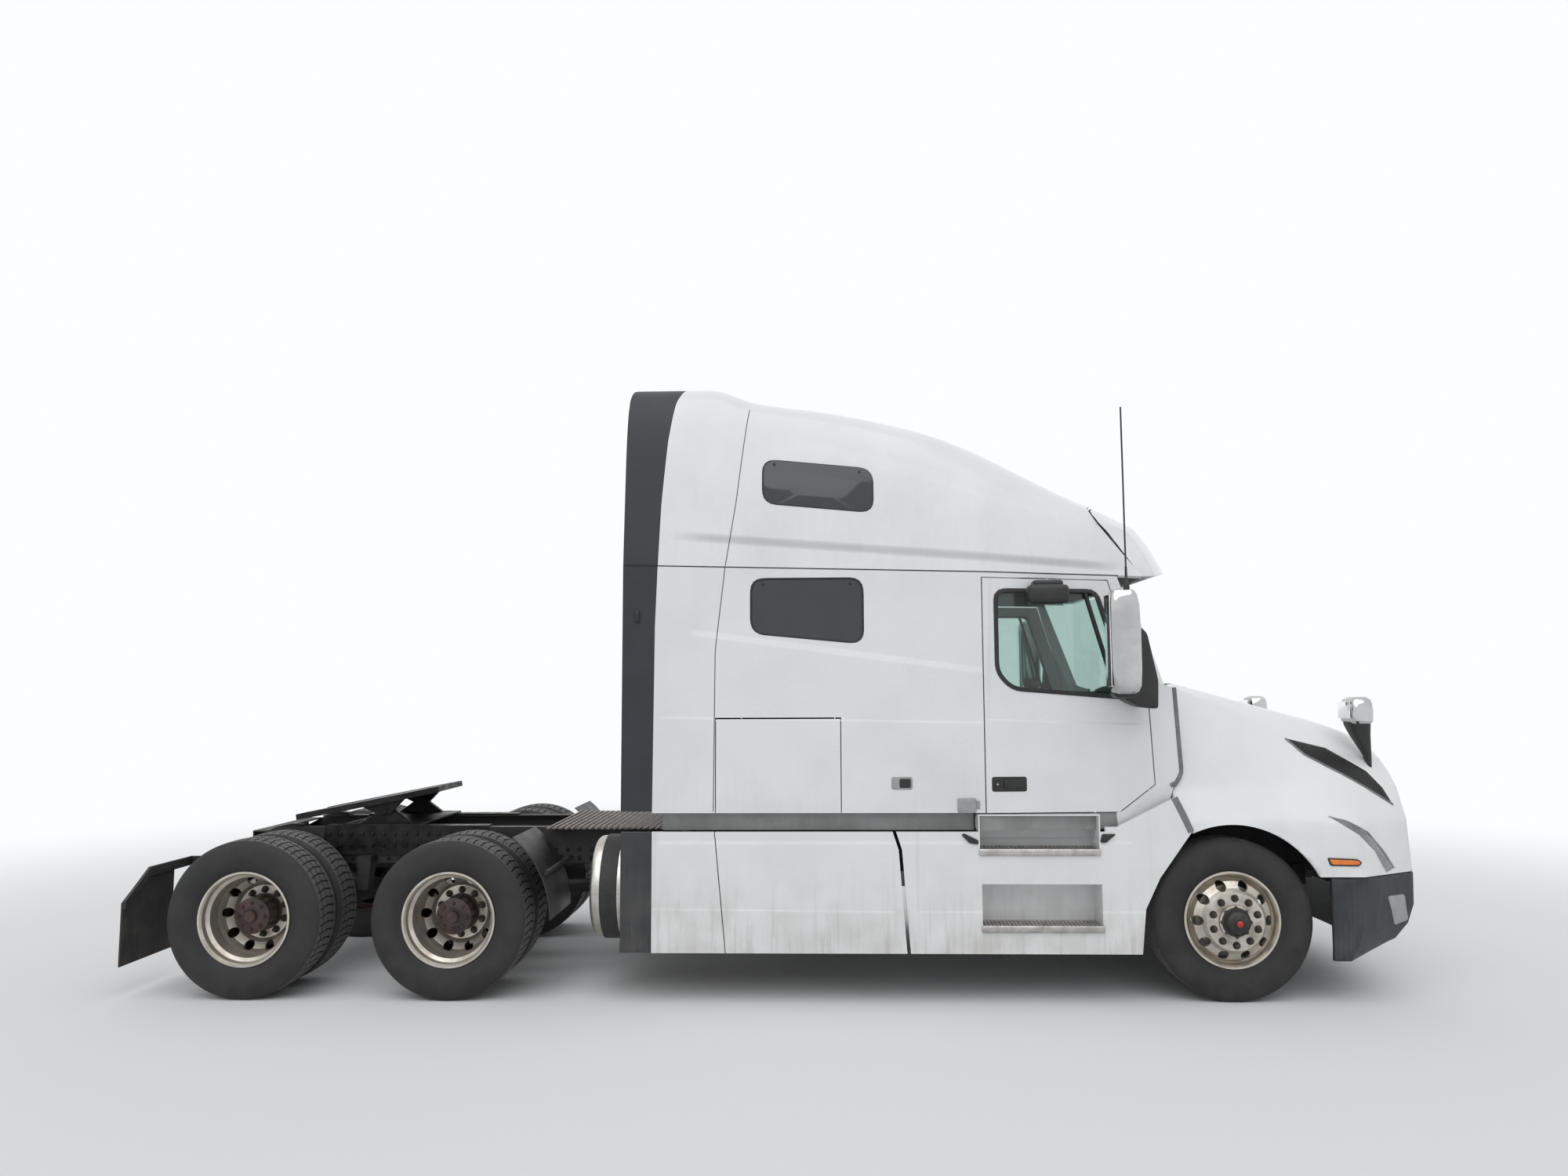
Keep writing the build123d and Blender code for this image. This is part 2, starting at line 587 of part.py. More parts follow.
# Deck plate behind the cab, with cross ribs
DECK_FRONT_AFT = 3660
DECK_REAR_AFT = 4480
DECK_HALF = 560
DECK_T = 8
RIB_PITCH = 41
RIB_WIDTH = 12
RIB_HEIGHT = 6
with BuildPart() as deck_plate:
    deck_mid = aft((DECK_FRONT_AFT + DECK_REAR_AFT) / 2)
    with Locations((deck_mid, 0, RAIL_TOP + DECK_T / 2)):
        Box(DECK_REAR_AFT - DECK_FRONT_AFT, 2 * DECK_HALF, DECK_T)
    rib_count = int((DECK_REAR_AFT - DECK_FRONT_AFT) / RIB_PITCH)
    with Locations((deck_mid, 0, RAIL_TOP + DECK_T + RIB_HEIGHT / 2)):
        with GridLocations(RIB_PITCH, 0, rib_count, 1):
            Box(RIB_WIDTH, 2 * DECK_HALF - 40, RIB_HEIGHT)
save(deck_plate.part, "deck_plate")

# Fifth wheel base: angles along the rails, cross plate, pedestals with pins, pick-up ramps
ANGLE_T = 12
ANGLE_FRONT_AFT = 4920
ANGLE_REAR_AFT = 6090
BASE_HALF_LENGTH = 280
with BuildPart() as fifth_wheel_base:
    with BuildSketch(Plane.YZ.offset(aft(ANGLE_REAR_AFT))):
        with BuildLine():
            Polyline(
                (RAIL_HALF, RAIL_TOP - 190), (RAIL_HALF + ANGLE_T, RAIL_TOP - 190),
                (RAIL_HALF + ANGLE_T, RAIL_TOP + ANGLE_T), (RAIL_HALF - RAIL_FLANGE, RAIL_TOP + ANGLE_T),
                (RAIL_HALF - RAIL_FLANGE, RAIL_TOP), (RAIL_HALF, RAIL_TOP), close=True,
            )
        make_face()
    extrude(amount=ANGLE_REAR_AFT - ANGLE_FRONT_AFT)
    with BuildSketch(Plane.XZ.offset(-PEDESTAL_Y - PEDESTAL_T / 2)):
        side_outline([
            (PIVOT_AFT - 170, RAIL_TOP + 2 * ANGLE_T), (PIVOT_AFT - 40, PIVOT_Z + 10),
            (PIVOT_AFT + 40, PIVOT_Z + 10), (PIVOT_AFT + 170, RAIL_TOP + 2 * ANGLE_T),
        ])
        with Locations((aft(PIVOT_AFT), PIVOT_Z)):
            Circle(42)
    extrude(amount=PEDESTAL_T)
    with BuildSketch(Plane.XZ.offset(-PEDESTAL_Y - PEDESTAL_T / 2 - LUG_T - 8)):
        with Locations((aft(PIVOT_AFT), PIVOT_Z)):
            Circle(PIVOT_PIN_R)
    extrude(amount=PEDESTAL_T + LUG_T + 8)
    with BuildSketch(Plane.XZ.offset(-RAIL_HALF)):
        side_outline([(6450, RAIL_TOP), (6250, RAIL_TOP), (6250, RAIL_TOP + 20), (6330, RAIL_TOP + 26)])
    extrude(amount=RAIL_FLANGE)
    mirror(about=Plane.XZ)
    with Locations((aft(PIVOT_AFT), 0, RAIL_TOP + 1.5 * ANGLE_T)):
        Box(2 * BASE_HALF_LENGTH, 2 * (RAIL_HALF + ANGLE_T), ANGLE_T)
save(fifth_wheel_base.part, "fifth_wheel_base")

# Fifth wheel plate, drawn about its pivot and stored with its tail down
tilted = Plane(
    origin=(aft(PIVOT_AFT), 0, PIVOT_Z),
    x_dir=(cos(radians(PLATE_TILT)), 0, sin(radians(PLATE_TILT))),
    z_dir=(-sin(radians(PLATE_TILT)), 0, cos(radians(PLATE_TILT))),
)
THROAT_HALF = 165
THROAT_END = -130
with BuildPart() as fifth_wheel_plate:
    with BuildSketch(tilted.offset(PLATE_TOP - PLATE_T)):
        with BuildLine():
            Polyline(
                (PLATE_FRONT, 0), (PLATE_FRONT, 270), (170, PLATE_HALF), (-260, PLATE_HALF),
                (-PLATE_REAR, 350), (-PLATE_REAR, 0), close=True,
            )
        make_face()
        mirror(about=Plane.XZ)
        with BuildLine():
            Polyline(
                (0, KINGPIN_SEAT_R), (THROAT_END, KINGPIN_SEAT_R), (-PLATE_REAR, THROAT_HALF),
                (-PLATE_REAR, -THROAT_HALF), (THROAT_END, -KINGPIN_SEAT_R), (0, -KINGPIN_SEAT_R), close=True,
            )
        make_face(mode=Mode.SUBTRACT)
        Circle(KINGPIN_SEAT_R, mode=Mode.SUBTRACT)
    extrude(amount=PLATE_T)
    lug_y = PEDESTAL_Y + PEDESTAL_T / 2 + SEAT_GAP
    for y in (lug_y + LUG_T, -lug_y):
        lug_plane = Plane(origin=tilted.origin + Vector(0, y, 0), x_dir=tilted.x_dir, z_dir=(0, -1, 0))
        with BuildSketch(lug_plane):
            with BuildLine():
                Polyline(
                    (-150, PLATE_TOP - PLATE_T), (-40, -24), (40, -24), (150, PLATE_TOP - PLATE_T), close=True
                )
            make_face()
            Circle(PIVOT_PIN_R + PIVOT_CLEARANCE, mode=Mode.SUBTRACT)
        extrude(amount=LUG_T)
save(fifth_wheel_plate.part, "fifth_wheel_plate")

# Quarter fenders ahead of the first drive wheels, and the mud flaps
FENDER_R = 650
FENDER_T = 6
FENDER_SWEEP = 52
FENDER_IN = 620
FENDER_OUT = 1200
FLAP_T = 10
FLAP_BOTTOM = 200
FLAP_POINTS = [(630, FLAP_BOTTOM), (1190, FLAP_BOTTOM), (1190, 600), (930, 770), (630, 770)]
with BuildPart() as quarter_fenders:
    with BuildSketch(Plane.XZ.offset(-FENDER_OUT)):
        with Locations((aft(DRIVE_AFT[0]), TYRE_R)):
            Circle(FENDER_R + FENDER_T)
            Circle(FENDER_R, mode=Mode.SUBTRACT)
            slope = radians(FENDER_SWEEP)
            far = 2 * FENDER_R
            Polygon((0, 0), (far * cos(slope), far * sin(slope)), (far, 0), align=None, mode=Mode.INTERSECT)
    extrude(amount=FENDER_OUT - FENDER_IN)
    mirror(about=Plane.XZ)
save(quarter_fenders.part, "quarter_fenders")

with BuildPart() as mud_flaps:
    with BuildSketch(Plane.YZ.offset(aft(TAIL_AFT))):
        Polygon(*FLAP_POINTS, align=None)
    extrude(amount=FLAP_T)
    mirror(about=Plane.XZ)
save(mud_flaps.part, "mud_flaps")

# Hangers of the flaps and tubes of the quarter fenders
HANGER_T = 20
TUBE_R = 16
TUBE_ANGLE = radians(25)
with BuildPart() as flap_hangers:
    with BuildSketch(Plane.YZ.offset(aft(TAIL_AFT - FLAP_T))):
        with BuildLine():
            Polyline(
                (RAIL_HALF, 730), (930, 730), (1190, 560), (1190, 610), (930, 790), (RAIL_HALF, 790), close=True
            )
        make_face()
    extrude(amount=HANGER_T)
    with Locations((aft((MEMBER_AFTS[-1] + TAIL_AFT - FLAP_T) / 2), RAIL_HALF + 12, 765)):
        Box(TAIL_AFT - FLAP_T - MEMBER_AFTS[-1], 24, 50)
    tube_reach = FENDER_R + FENDER_T + SEAT_GAP + TUBE_R
    tube_x = aft(DRIVE_AFT[0]) + tube_reach * cos(TUBE_ANGLE)
    tube_z = TYRE_R + tube_reach * sin(TUBE_ANGLE)
    with Locations((tube_x, (RAIL_HALF + FENDER_OUT - 60) / 2, tube_z)):
        Cylinder(TUBE_R, FENDER_OUT - 60 - RAIL_HALF, rotation=(90, 0, 0))
    mirror(about=Plane.XZ)
save(flap_hangers.part, "flap_hangers")

# Cab. The doors and their frames lie in a plane that draws in towards the cowl.
taper_angle = atan2(TAPER, DOOR_REAR_AFT - CAB_FRONT_AFT)
taper_plane = Plane(
    origin=(aft(DOOR_REAR_AFT), BODY_HALF, 0),
    x_dir=(cos(taper_angle), -sin(taper_angle), 0),
    z_dir=(-sin(taper_angle), -cos(taper_angle), 0),
)


def taper_outline(points, mode=Mode.ADD):
    """Closed outline in the tapered plane, from (distance behind the steer axle, height) pairs."""
    Polygon(*[((DOOR_REAR_AFT - a) / cos(taper_angle), z) for a, z in points], align=None, mode=mode)


def side_y(a):
    """Half width over the cab side."""
    return BODY_HALF - TAPER * max(0, DOOR_REAR_AFT - a) / (DOOR_REAR_AFT - CAB_FRONT_AFT)


# Floor, firewall and cowl plate
FIREWALL_AFT = 370
FIREWALL_T = 50
COWL_T = 30
GLASS_BULGE_AFT = 80      # middle of the windscreen's foot
GLASS_SWEEP = 360         # how far the glass draws back from its middle to the pillars
SILL_FRONT_AFT = 1600     # panels that hang under the floor's edge, over the skirts
SILL_REAR_AFT = 3580
SILL_BOTTOM = 1056
SILL_T = 8
tub_half = BODY_HALF - DOOR_T - 2 * DOOR_GAP
front_half = side_y(FIREWALL_AFT) - DOOR_T - DOOR_GAP
glass_plan_r = (front_half**2 + GLASS_SWEEP**2) / (2 * GLASS_SWEEP)
with BuildPart() as cab_tub:
    with BuildSketch(Plane.XY.offset(CAB_BOTTOM)):
        Polygon(
            (aft(CAB_REAR_AFT - WALL - SEAT_GAP), tub_half), (aft(DOOR_REAR_AFT), tub_half),
            (aft(FIREWALL_AFT), front_half), (aft(FIREWALL_AFT), -front_half),
            (aft(DOOR_REAR_AFT), -tub_half), (aft(CAB_REAR_AFT - WALL - SEAT_GAP), -tub_half), align=None,
        )
    extrude(amount=FLOOR_T)
    with Locations((aft(FIREWALL_AFT + FIREWALL_T / 2), 0, (CAB_BOTTOM + COWL_Z) / 2)):
        Box(FIREWALL_T, 2 * front_half, COWL_Z - CAB_BOTTOM)
    for side in (-1, 1):
        with Locations((
            aft((SILL_FRONT_AFT + SILL_REAR_AFT) / 2), side * (tub_half - SILL_T / 2),
            (SILL_BOTTOM + CAB_BOTTOM) / 2,
        )):
            Box(SILL_REAR_AFT - SILL_FRONT_AFT, SILL_T, CAB_BOTTOM - SILL_BOTTOM)
    with BuildSketch(Plane.XY.offset(COWL_Z - COWL_T)):
        with BuildLine():
            cowl_side = GLASS_BULGE_AFT - 20 + glass_plan_r - (glass_plan_r**2 - front_half**2) ** 0.5
            cowl_arc = ThreePointArc(
                (aft(cowl_side), front_half), (aft(GLASS_BULGE_AFT - 20), 0), (aft(cowl_side), -front_half)
            )
            Polyline(
                cowl_arc @ 1, (aft(FIREWALL_AFT + FIREWALL_T + 40), -front_half),
                (aft(FIREWALL_AFT + FIREWALL_T + 40), front_half), cowl_arc @ 0,
            )
        make_face()
    extrude(amount=COWL_T)
save(cab_tub.part, "cab_tub")

# Cab sides: wall behind the door, header, front pillar and cowl side
FRAME_POINTS = [
    (DOOR_REAR_AFT, CAB_BOTTOM), (DOOR_REAR_AFT, seam_z(DOOR_REAR_AFT)), (652, seam_z(652)), (400, 1980),
    (310, 1950), (280, 1420), (310, 1356), (460, 1288), (610, CAB_BOTTOM),
]
luggage_hinge_z = LUGGAGE_TOP - LUGGAGE_TOP_GAP - LUGGAGE_HINGE_IN
with BuildPart() as cab_sides:
    with BuildSketch(Plane.XZ.offset(-BODY_HALF)):
        side_outline([
            (DOOR_REAR_AFT, CAB_BOTTOM), (CAB_REAR_AFT, CAB_BOTTOM), (3630, 2350), (3615, seam_z(3615)),
            (DOOR_REAR_AFT, seam_z(DOOR_REAR_AFT)),
        ])
    extrude(amount=WALL)
    with BuildSketch(taper_plane):
        taper_outline(FRAME_POINTS)
    extrude(amount=DOOR_T)
    with BuildSketch(taper_plane.offset(-WALL)):
        taper_outline(DOOR_POINTS)
        offset(amount=DOOR_GAP, kind=Kind.INTERSECTION)
    extrude(amount=3 * WALL, mode=Mode.SUBTRACT)
    with BuildSketch(Plane.XZ.offset(-BODY_HALF)):
        side_outline([
            (LUGGAGE_FRONT_AFT, 0), (LUGGAGE_FRONT_AFT, LUGGAGE_TOP),
            (LUGGAGE_REAR_AFT, LUGGAGE_TOP), (LUGGAGE_REAR_AFT, 0),
        ])
    extrude(amount=WALL, mode=Mode.SUBTRACT)
    with BuildSketch(Plane.XZ.offset(-BODY_HALF)) as lower_opening:
        side_outline(LOWER_WINDOW)
        fillet(lower_opening.vertices(), WINDOW_CORNER)
    extrude(amount=WALL, mode=Mode.SUBTRACT)
    for low, high, pocket_r in HINGE_POCKETS:
        with Locations((aft(DOOR_HINGE_AFT), DOOR_HINGE_Y, (low + high) / 2)):
            Cylinder(pocket_r, high - low, mode=Mode.SUBTRACT)
    for low, high in DOOR_PINS:
        with Locations((aft(DOOR_HINGE_AFT), DOOR_HINGE_Y, (low + high) / 2)):
            Cylinder(DOOR_PIN_R, high - low)
    for a in (LUGGAGE_FRONT_AFT + 8, LUGGAGE_REAR_AFT - 8):
        with Locations((aft(a), BODY_HALF - LUGGAGE_HINGE_IN, luggage_hinge_z)):
            Cylinder(LUGGAGE_PIN_R, 2 * LUGGAGE_PIN_REACH, rotation=(0, 90, 0))
    mirror(about=Plane.XZ)
save(cab_sides.part, "cab_sides")

with BuildPart() as cab_back:
    back_height = seam_z(CAB_REAR_AFT - WALL) - CAB_BOTTOM
    with Locations((aft(CAB_REAR_AFT - WALL / 2), 0, CAB_BOTTOM + back_height / 2)):
        Box(WALL, 2 * (BODY_HALF - WALL - SEAT_GAP), back_height)
save(cab_back.part, "cab_back")

# Roof. Each row of the crown is a cross section: distance behind the steer axle, and the heights
# of the shoulder, of the roof edge and of the middle.
CROWN = [
    (EXTENDER_REAR_AFT, 3720, 4020, ROOF_Z),
    (3310, 3705, 4020, ROOF_Z),
    (3000, 3650, 3925, 3955),
    (2480, 3550, 3845, 3880),
    (2160, 3485, 3779, 3817),
    (1850, 3410, 3695, 3740),
    (DOOR_REAR_AFT, 3295, 3562, 3628),
    (1310, 3224, 3446, 3538),
    (1110, 3160, 3335, 3450),
    (800, 3055, 3176, 3310),
    (500, 2970, 3060, 3200),
    (60, 2900, 2980, 3120),
]
CROWN_SHOULDER_IN = 100   # how far the shoulder draws in from the foot
CROWN_EDGE_Y = BODY_HALF - 290
CROWN_MIDDLE_Y = 400
ROOF_WALL = 40
EXTENDER_LINE = [
    (3640, 1000), (3640, 1170), (3630, 2350), (3600, 3170), (3566, 3590), (3526, 3880), (3440, 4100),
]
EXTENDER_JOINT = 2        # gap between the hoop over the roof and the panels below it
VISOR_SIDE = [
    (814, 3082), (585, 2955), (510, 2870), (425, 2735), (398, 2672),
    (474, 2668), (529, 2735), (640, 2870), (710, 2955), (800, 3064),
]
VISOR_MIDDLE = [
    (600, 3247), (290, 3100), (210, 2990), (130, 2850), (90, 2770),
    (125, 2762), (162, 2838), (240, 2970), (315, 3072), (584, 3214),
]
VISOR_Y = BODY_HALF - 100


def crown_face(row, inset):
    a, shoulder_z, edge_z, middle_z = row
    foot_z = seam_z(a) + SEAT_GAP - 3 * inset
    half = [
        (side_y(a) - inset, foot_z), (side_y(a) - CROWN_SHOULDER_IN - inset, shoulder_z - inset / 3),
        (CROWN_EDGE_Y - inset / 2, edge_z - inset), (CROWN_MIDDLE_Y, middle_z - inset),
    ]
    Polygon(*half, *[(-y, z) for y, z in reversed(half)], align=None)


with BuildPart() as crown:
    for row in CROWN:
        with BuildSketch(Plane.YZ.offset(aft(row[0]))):
            crown_face(row, 0)
    loft(ruled=True)
with BuildPart() as crown_inside:
    for row in CROWN:
        with BuildSketch(Plane.YZ.offset(aft(row[0]))):
            crown_face(row, ROOF_WALL)
    loft(ruled=True)

# Space in front of the roof cap, which the visor takes
with BuildPart() as visor_space:
    for y in (-VISOR_Y, 0, VISOR_Y):
        foot, head = ((294.5, 2660), (604.5, 3250)) if y == 0 else ((467.5, 2660), (814.5, 3080))
        lean = (head[0] - foot[0]) / (head[1] - foot[1])
        with BuildSketch(Plane.XZ.offset(-y)):
            side_outline([
                (foot[0] - 200 * lean, foot[1] - 200), (head[0] + 400 * lean, head[1] + 400),
                (-900, head[1] + 400), (-900, foot[1] - 200),
            ])
    loft()

with BuildPart() as roof_cap:
    add(crown.part)
    add(visor_space.part, mode=Mode.SUBTRACT)
    with BuildSketch(Plane.XZ):
        side_outline([*EXTENDER_LINE, (4500, 4100), (4500, 1000)])
    extrude(amount=2 * BODY_HALF, both=True, mode=Mode.SUBTRACT)
    with BuildPart(mode=Mode.PRIVATE) as roof_hollow:
        add(crown_inside.part)
        with BuildSketch(Plane.XZ):
            side_outline([*[(a - WALL, z) for a, z in EXTENDER_LINE], (0, 4100), (0, 1000)])
        extrude(amount=2 * BODY_HALF, both=True, mode=Mode.INTERSECT)
        with BuildSketch(Plane.XY):
            with BuildLine():
                hollow_arc = ThreePointArc((aft(1050), 1500), (aft(390), 0), (aft(1050), -1500))
                Polyline(hollow_arc @ 1, (aft(4500), -1500), (aft(4500), 1500), hollow_arc @ 0)
            make_face()
        extrude(amount=2 * ROOF_Z, mode=Mode.INTERSECT)
    add(roof_hollow.part, mode=Mode.SUBTRACT)
    with BuildSketch(Plane.XZ) as upper_opening:
        side_outline(UPPER_WINDOW)
        fillet(upper_opening.vertices(), WINDOW_CORNER)
    extrude(amount=2 * BODY_HALF, both=True, mode=Mode.SUBTRACT)
save(roof_cap.part, "roof_cap")

with BuildPart() as sun_visor:
    for y in (-VISOR_Y, 0, VISOR_Y):
        with BuildSketch(Plane.XZ.offset(-y)):
            side_outline(VISOR_MIDDLE if y == 0 else VISOR_SIDE)
    loft()
    add(crown.part, mode=Mode.INTERSECT)
save(sun_visor.part, "sun_visor")

# Extenders behind the cab: an arch that follows the roof, and strips behind the skirts
with BuildPart() as side_extenders:
    add(crown.part)
    add(crown_inside.part, mode=Mode.SUBTRACT)
    with BuildSketch(Plane.XZ.offset(-BODY_HALF)):
        side_outline([
            (3640, CAB_BOTTOM + 10), (EXTENDER_REAR_AFT, CAB_BOTTOM + 10),
            (EXTENDER_REAR_AFT, seam_z(EXTENDER_REAR_AFT) + 20), (3625, seam_z(3640) + 20),
        ])
    extrude(amount=ROOF_WALL)
    mirror(about=Plane.XZ)
    with BuildSketch(Plane.XZ):
        side_outline([*[(a + SEAT_GAP, z) for a, z in EXTENDER_LINE], (EXTENDER_REAR_AFT - 90, 4100),
                      (EXTENDER_REAR_AFT - 60, 4052), (EXTENDER_REAR_AFT, 3970), (EXTENDER_REAR_AFT, 1000)])
    extrude(amount=2 * BODY_HALF, both=True, mode=Mode.INTERSECT)
    front_z = seam_z(CAB_REAR_AFT - 100)
    rear_z = seam_z(EXTENDER_REAR_AFT + 100)
    with BuildSketch(Plane.XZ):
        side_outline([
            (CAB_REAR_AFT - 100, front_z), (EXTENDER_REAR_AFT + 100, rear_z),
            (EXTENDER_REAR_AFT + 100, rear_z + EXTENDER_JOINT), (CAB_REAR_AFT - 100, front_z + EXTENDER_JOINT),
        ])
    extrude(amount=2 * BODY_HALF, both=True, mode=Mode.SUBTRACT)
    for side in (-1, 1):
        with Locations((
            aft((CAB_REAR_AFT + EXTENDER_REAR_AFT + SEAT_GAP) / 2), side * (BODY_HALF - SKIRT_T / 2),
            (SKIRT_BOTTOM + SKIRT_TOP) / 2,
        )):
            Box(EXTENDER_REAR_AFT - CAB_REAR_AFT - SEAT_GAP, SKIRT_T, SKIRT_TOP - SKIRT_BOTTOM)
save(side_extenders.part, "side_extenders")

# Windscreen between the front pillars
WINDSCREEN_T = 8
GLASS_LEAN = 245
GLASS_TOP = 2652
glass_half = side_y(445) - DOOR_T - DOOR_GAP
with BuildPart() as windscreen:
    for z, shift in ((COWL_Z + SEAT_GAP, 0), (GLASS_TOP, GLASS_LEAN)):
        with BuildSketch(Plane.XY.offset(z)):
            with BuildLine():
                drop = glass_plan_r - (glass_plan_r**2 - glass_half**2) ** 0.5
                front_x = aft(GLASS_BULGE_AFT + shift)
                glass_front = ThreePointArc(
                    (front_x - drop, glass_half), (front_x, 0), (front_x - drop, -glass_half)
                )
                glass_rear = ThreePointArc(
                    (front_x - drop - WINDSCREEN_T, -glass_half), (front_x - WINDSCREEN_T, 0),
                    (front_x - drop - WINDSCREEN_T, glass_half),
                )
                Line(glass_front @ 1, glass_rear @ 0)
                Line(glass_rear @ 1, glass_front @ 0)
            make_face()
    loft()
save(windscreen.part, "windscreen")

# Side panes of the sleeper
PANE_INSET = 5
with BuildPart() as sleeper_windows:
    with BuildSketch(Plane.XZ.offset(-BODY_HALF + PANE_INSET)) as lower_pane:
        side_outline(LOWER_WINDOW)
        fillet(lower_pane.vertices(), WINDOW_CORNER)
        offset(amount=-SEAT_GAP)
    extrude(amount=GLASS_T)
    pane_mid = Vector(aft(2575), BODY_HALF - 60 - PANE_INSET, 3280)
    pane_along = Vector(718, -13, 0).normalized()
    pane_up = Vector(0, -0.119, 1).normalized()
    with BuildPart(mode=Mode.PRIVATE) as upper_pane:
        with BuildSketch(Plane(origin=pane_mid, x_dir=pane_along, z_dir=pane_along.cross(pane_up))):
            Rectangle(900, 600)
        extrude(amount=GLASS_T)
        with BuildSketch(Plane.XZ) as pane_outline:
            side_outline(UPPER_WINDOW)
            fillet(pane_outline.vertices(), WINDOW_CORNER)
            offset(amount=-SEAT_GAP)
        extrude(amount=-2 * BODY_HALF, mode=Mode.INTERSECT)
    add(upper_pane.part)
    mirror(about=Plane.XZ)
save(sleeper_windows.part, "sleeper_windows")

# Doors with their panes, left side drawn and mirrored
pane_plane = taper_plane.offset((DOOR_T - GLASS_T) / 2)
with BuildPart() as door:
    with BuildSketch(taper_plane):
        taper_outline(DOOR_POINTS)
    extrude(amount=DOOR_T)
    with BuildSketch(taper_plane) as door_opening:
        taper_outline(DOOR_WINDOW)
        fillet(door_opening.vertices(), 40)
    extrude(amount=DOOR_T, mode=Mode.SUBTRACT)
    for low, high in DOOR_PINS:
        with Locations((aft(DOOR_HINGE_AFT), DOOR_HINGE_Y, (low + high) / 2)):
            Cylinder(DOOR_PIN_R + PIN_CLEARANCE, high - low + 2, mode=Mode.SUBTRACT)
save(door.part, "door_left")
save(mirror(door.part, about=Plane.XZ), "door_right")

with BuildPart() as door_glass:
    with BuildSketch(pane_plane) as glass_outline:
        taper_outline(DOOR_WINDOW)
        fillet(glass_outline.vertices(), 40)
        offset(amount=-SEAT_GAP)
    extrude(amount=GLASS_T)
save(door_glass.part, "door_glass_left")
save(mirror(door_glass.part, about=Plane.XZ), "door_glass_right")

# Door mirrors: bracket on the door, arm and tall head; the right one adds a look-down mirror and an aerial
MIRROR_OUT = BODY_HALF + 370
MIRROR_DEPTH = 160
MIRROR_FRONT_AFT = 620
MIRROR_REAR_AFT = 812
MIRROR_BOTTOM = 1908
MIRROR_TOP = 2550
AERIAL_TOP = 3690
AERIAL_R = 6
LOOK_DOWN = (1000, 1260, 2470, 2600)
for side in ("left", "right"):
    with BuildPart() as door_mirror:
        with Locations((
            aft((MIRROR_FRONT_AFT + MIRROR_REAR_AFT) / 2), MIRROR_OUT - MIRROR_DEPTH / 2,
            (MIRROR_BOTTOM + MIRROR_TOP) / 2,
        )):
            Box(MIRROR_REAR_AFT - MIRROR_FRONT_AFT, MIRROR_DEPTH, MIRROR_TOP - MIRROR_BOTTOM)
        fillet(door_mirror.edges().filter_by(Axis.Z), 40)
        fillet(door_mirror.faces().sort_by(Axis.Z)[-1].edges(), 25)
        fillet(door_mirror.faces().sort_by(Axis.Z)[0].edges(), 25)
        with BuildSketch(taper_plane.offset(-SEAT_GAP)):
            taper_outline([(500, 1830), (560, 1825), (700, 2290), (655, 2330), (540, 1990)])
        extrude(amount=-60)
        with BuildSketch(Plane.XZ.offset(-side_y(DOOR_HINGE_AFT) - 30)):
            side_outline([(520, 1850), (640, 1850), (MIRROR_FRONT_AFT + 60, 1970), (550, 1960)])
        extrude(amount=side_y(DOOR_HINGE_AFT) + 30 + MIRROR_DEPTH / 2 - MIRROR_OUT)
        if side == "right":
            with Locations((aft(690), MIRROR_OUT - MIRROR_DEPTH / 2, (MIRROR_TOP - 20 + AERIAL_TOP) / 2)):
                Cylinder(AERIAL_R, AERIAL_TOP - MIRROR_TOP + 20)
    head = door_mirror.part
    save(head if side == "left" else mirror(head, about=Plane.XZ), f"door_mirror_{side}")
with BuildPart() as look_down_mirror:
    with BuildSketch(taper_plane.offset(-SEAT_GAP)):
        taper_outline([(LOOK_DOWN[0] + 30, 2590), (LOOK_DOWN[0] + 30, 2640), (LOOK_DOWN[1] - 30, 2640),
                       (LOOK_DOWN[1] - 30, 2590)])
    extrude(amount=-90)
    with BuildSketch(taper_plane.offset(-40)):
        taper_outline([(LOOK_DOWN[0], 2480), (LOOK_DOWN[0] + 15, 2600), (LOOK_DOWN[1] - 15, 2600),
                       (LOOK_DOWN[1], 2480)])
    extrude(amount=-140)
save(mirror(look_down_mirror.part, about=Plane.XZ), "look_down_mirror")

# Luggage doors under the bunk
with BuildPart() as luggage_door:
    with BuildSketch(Plane.XZ.offset(-BODY_HALF)):
        side_outline([
            (LUGGAGE_FRONT_AFT + PANEL_GAP, CAB_BOTTOM),
            (LUGGAGE_FRONT_AFT + PANEL_GAP, LUGGAGE_TOP - LUGGAGE_TOP_GAP),
            (LUGGAGE_REAR_AFT - PANEL_GAP, LUGGAGE_TOP - LUGGAGE_TOP_GAP),
            (LUGGAGE_REAR_AFT - PANEL_GAP, CAB_BOTTOM),
        ])
    extrude(amount=WALL)
    for a in (LUGGAGE_FRONT_AFT + 8, LUGGAGE_REAR_AFT - 8):
        with Locations((aft(a), BODY_HALF - LUGGAGE_HINGE_IN, luggage_hinge_z)):
            Cylinder(
                LUGGAGE_PIN_R + PIN_CLEARANCE, 2 * LUGGAGE_PIN_REACH + 2, rotation=(0, 90, 0), mode=Mode.SUBTRACT
            )
save(luggage_door.part, "luggage_door_left")
save(mirror(luggage_door.part, about=Plane.XZ), "luggage_door_right")

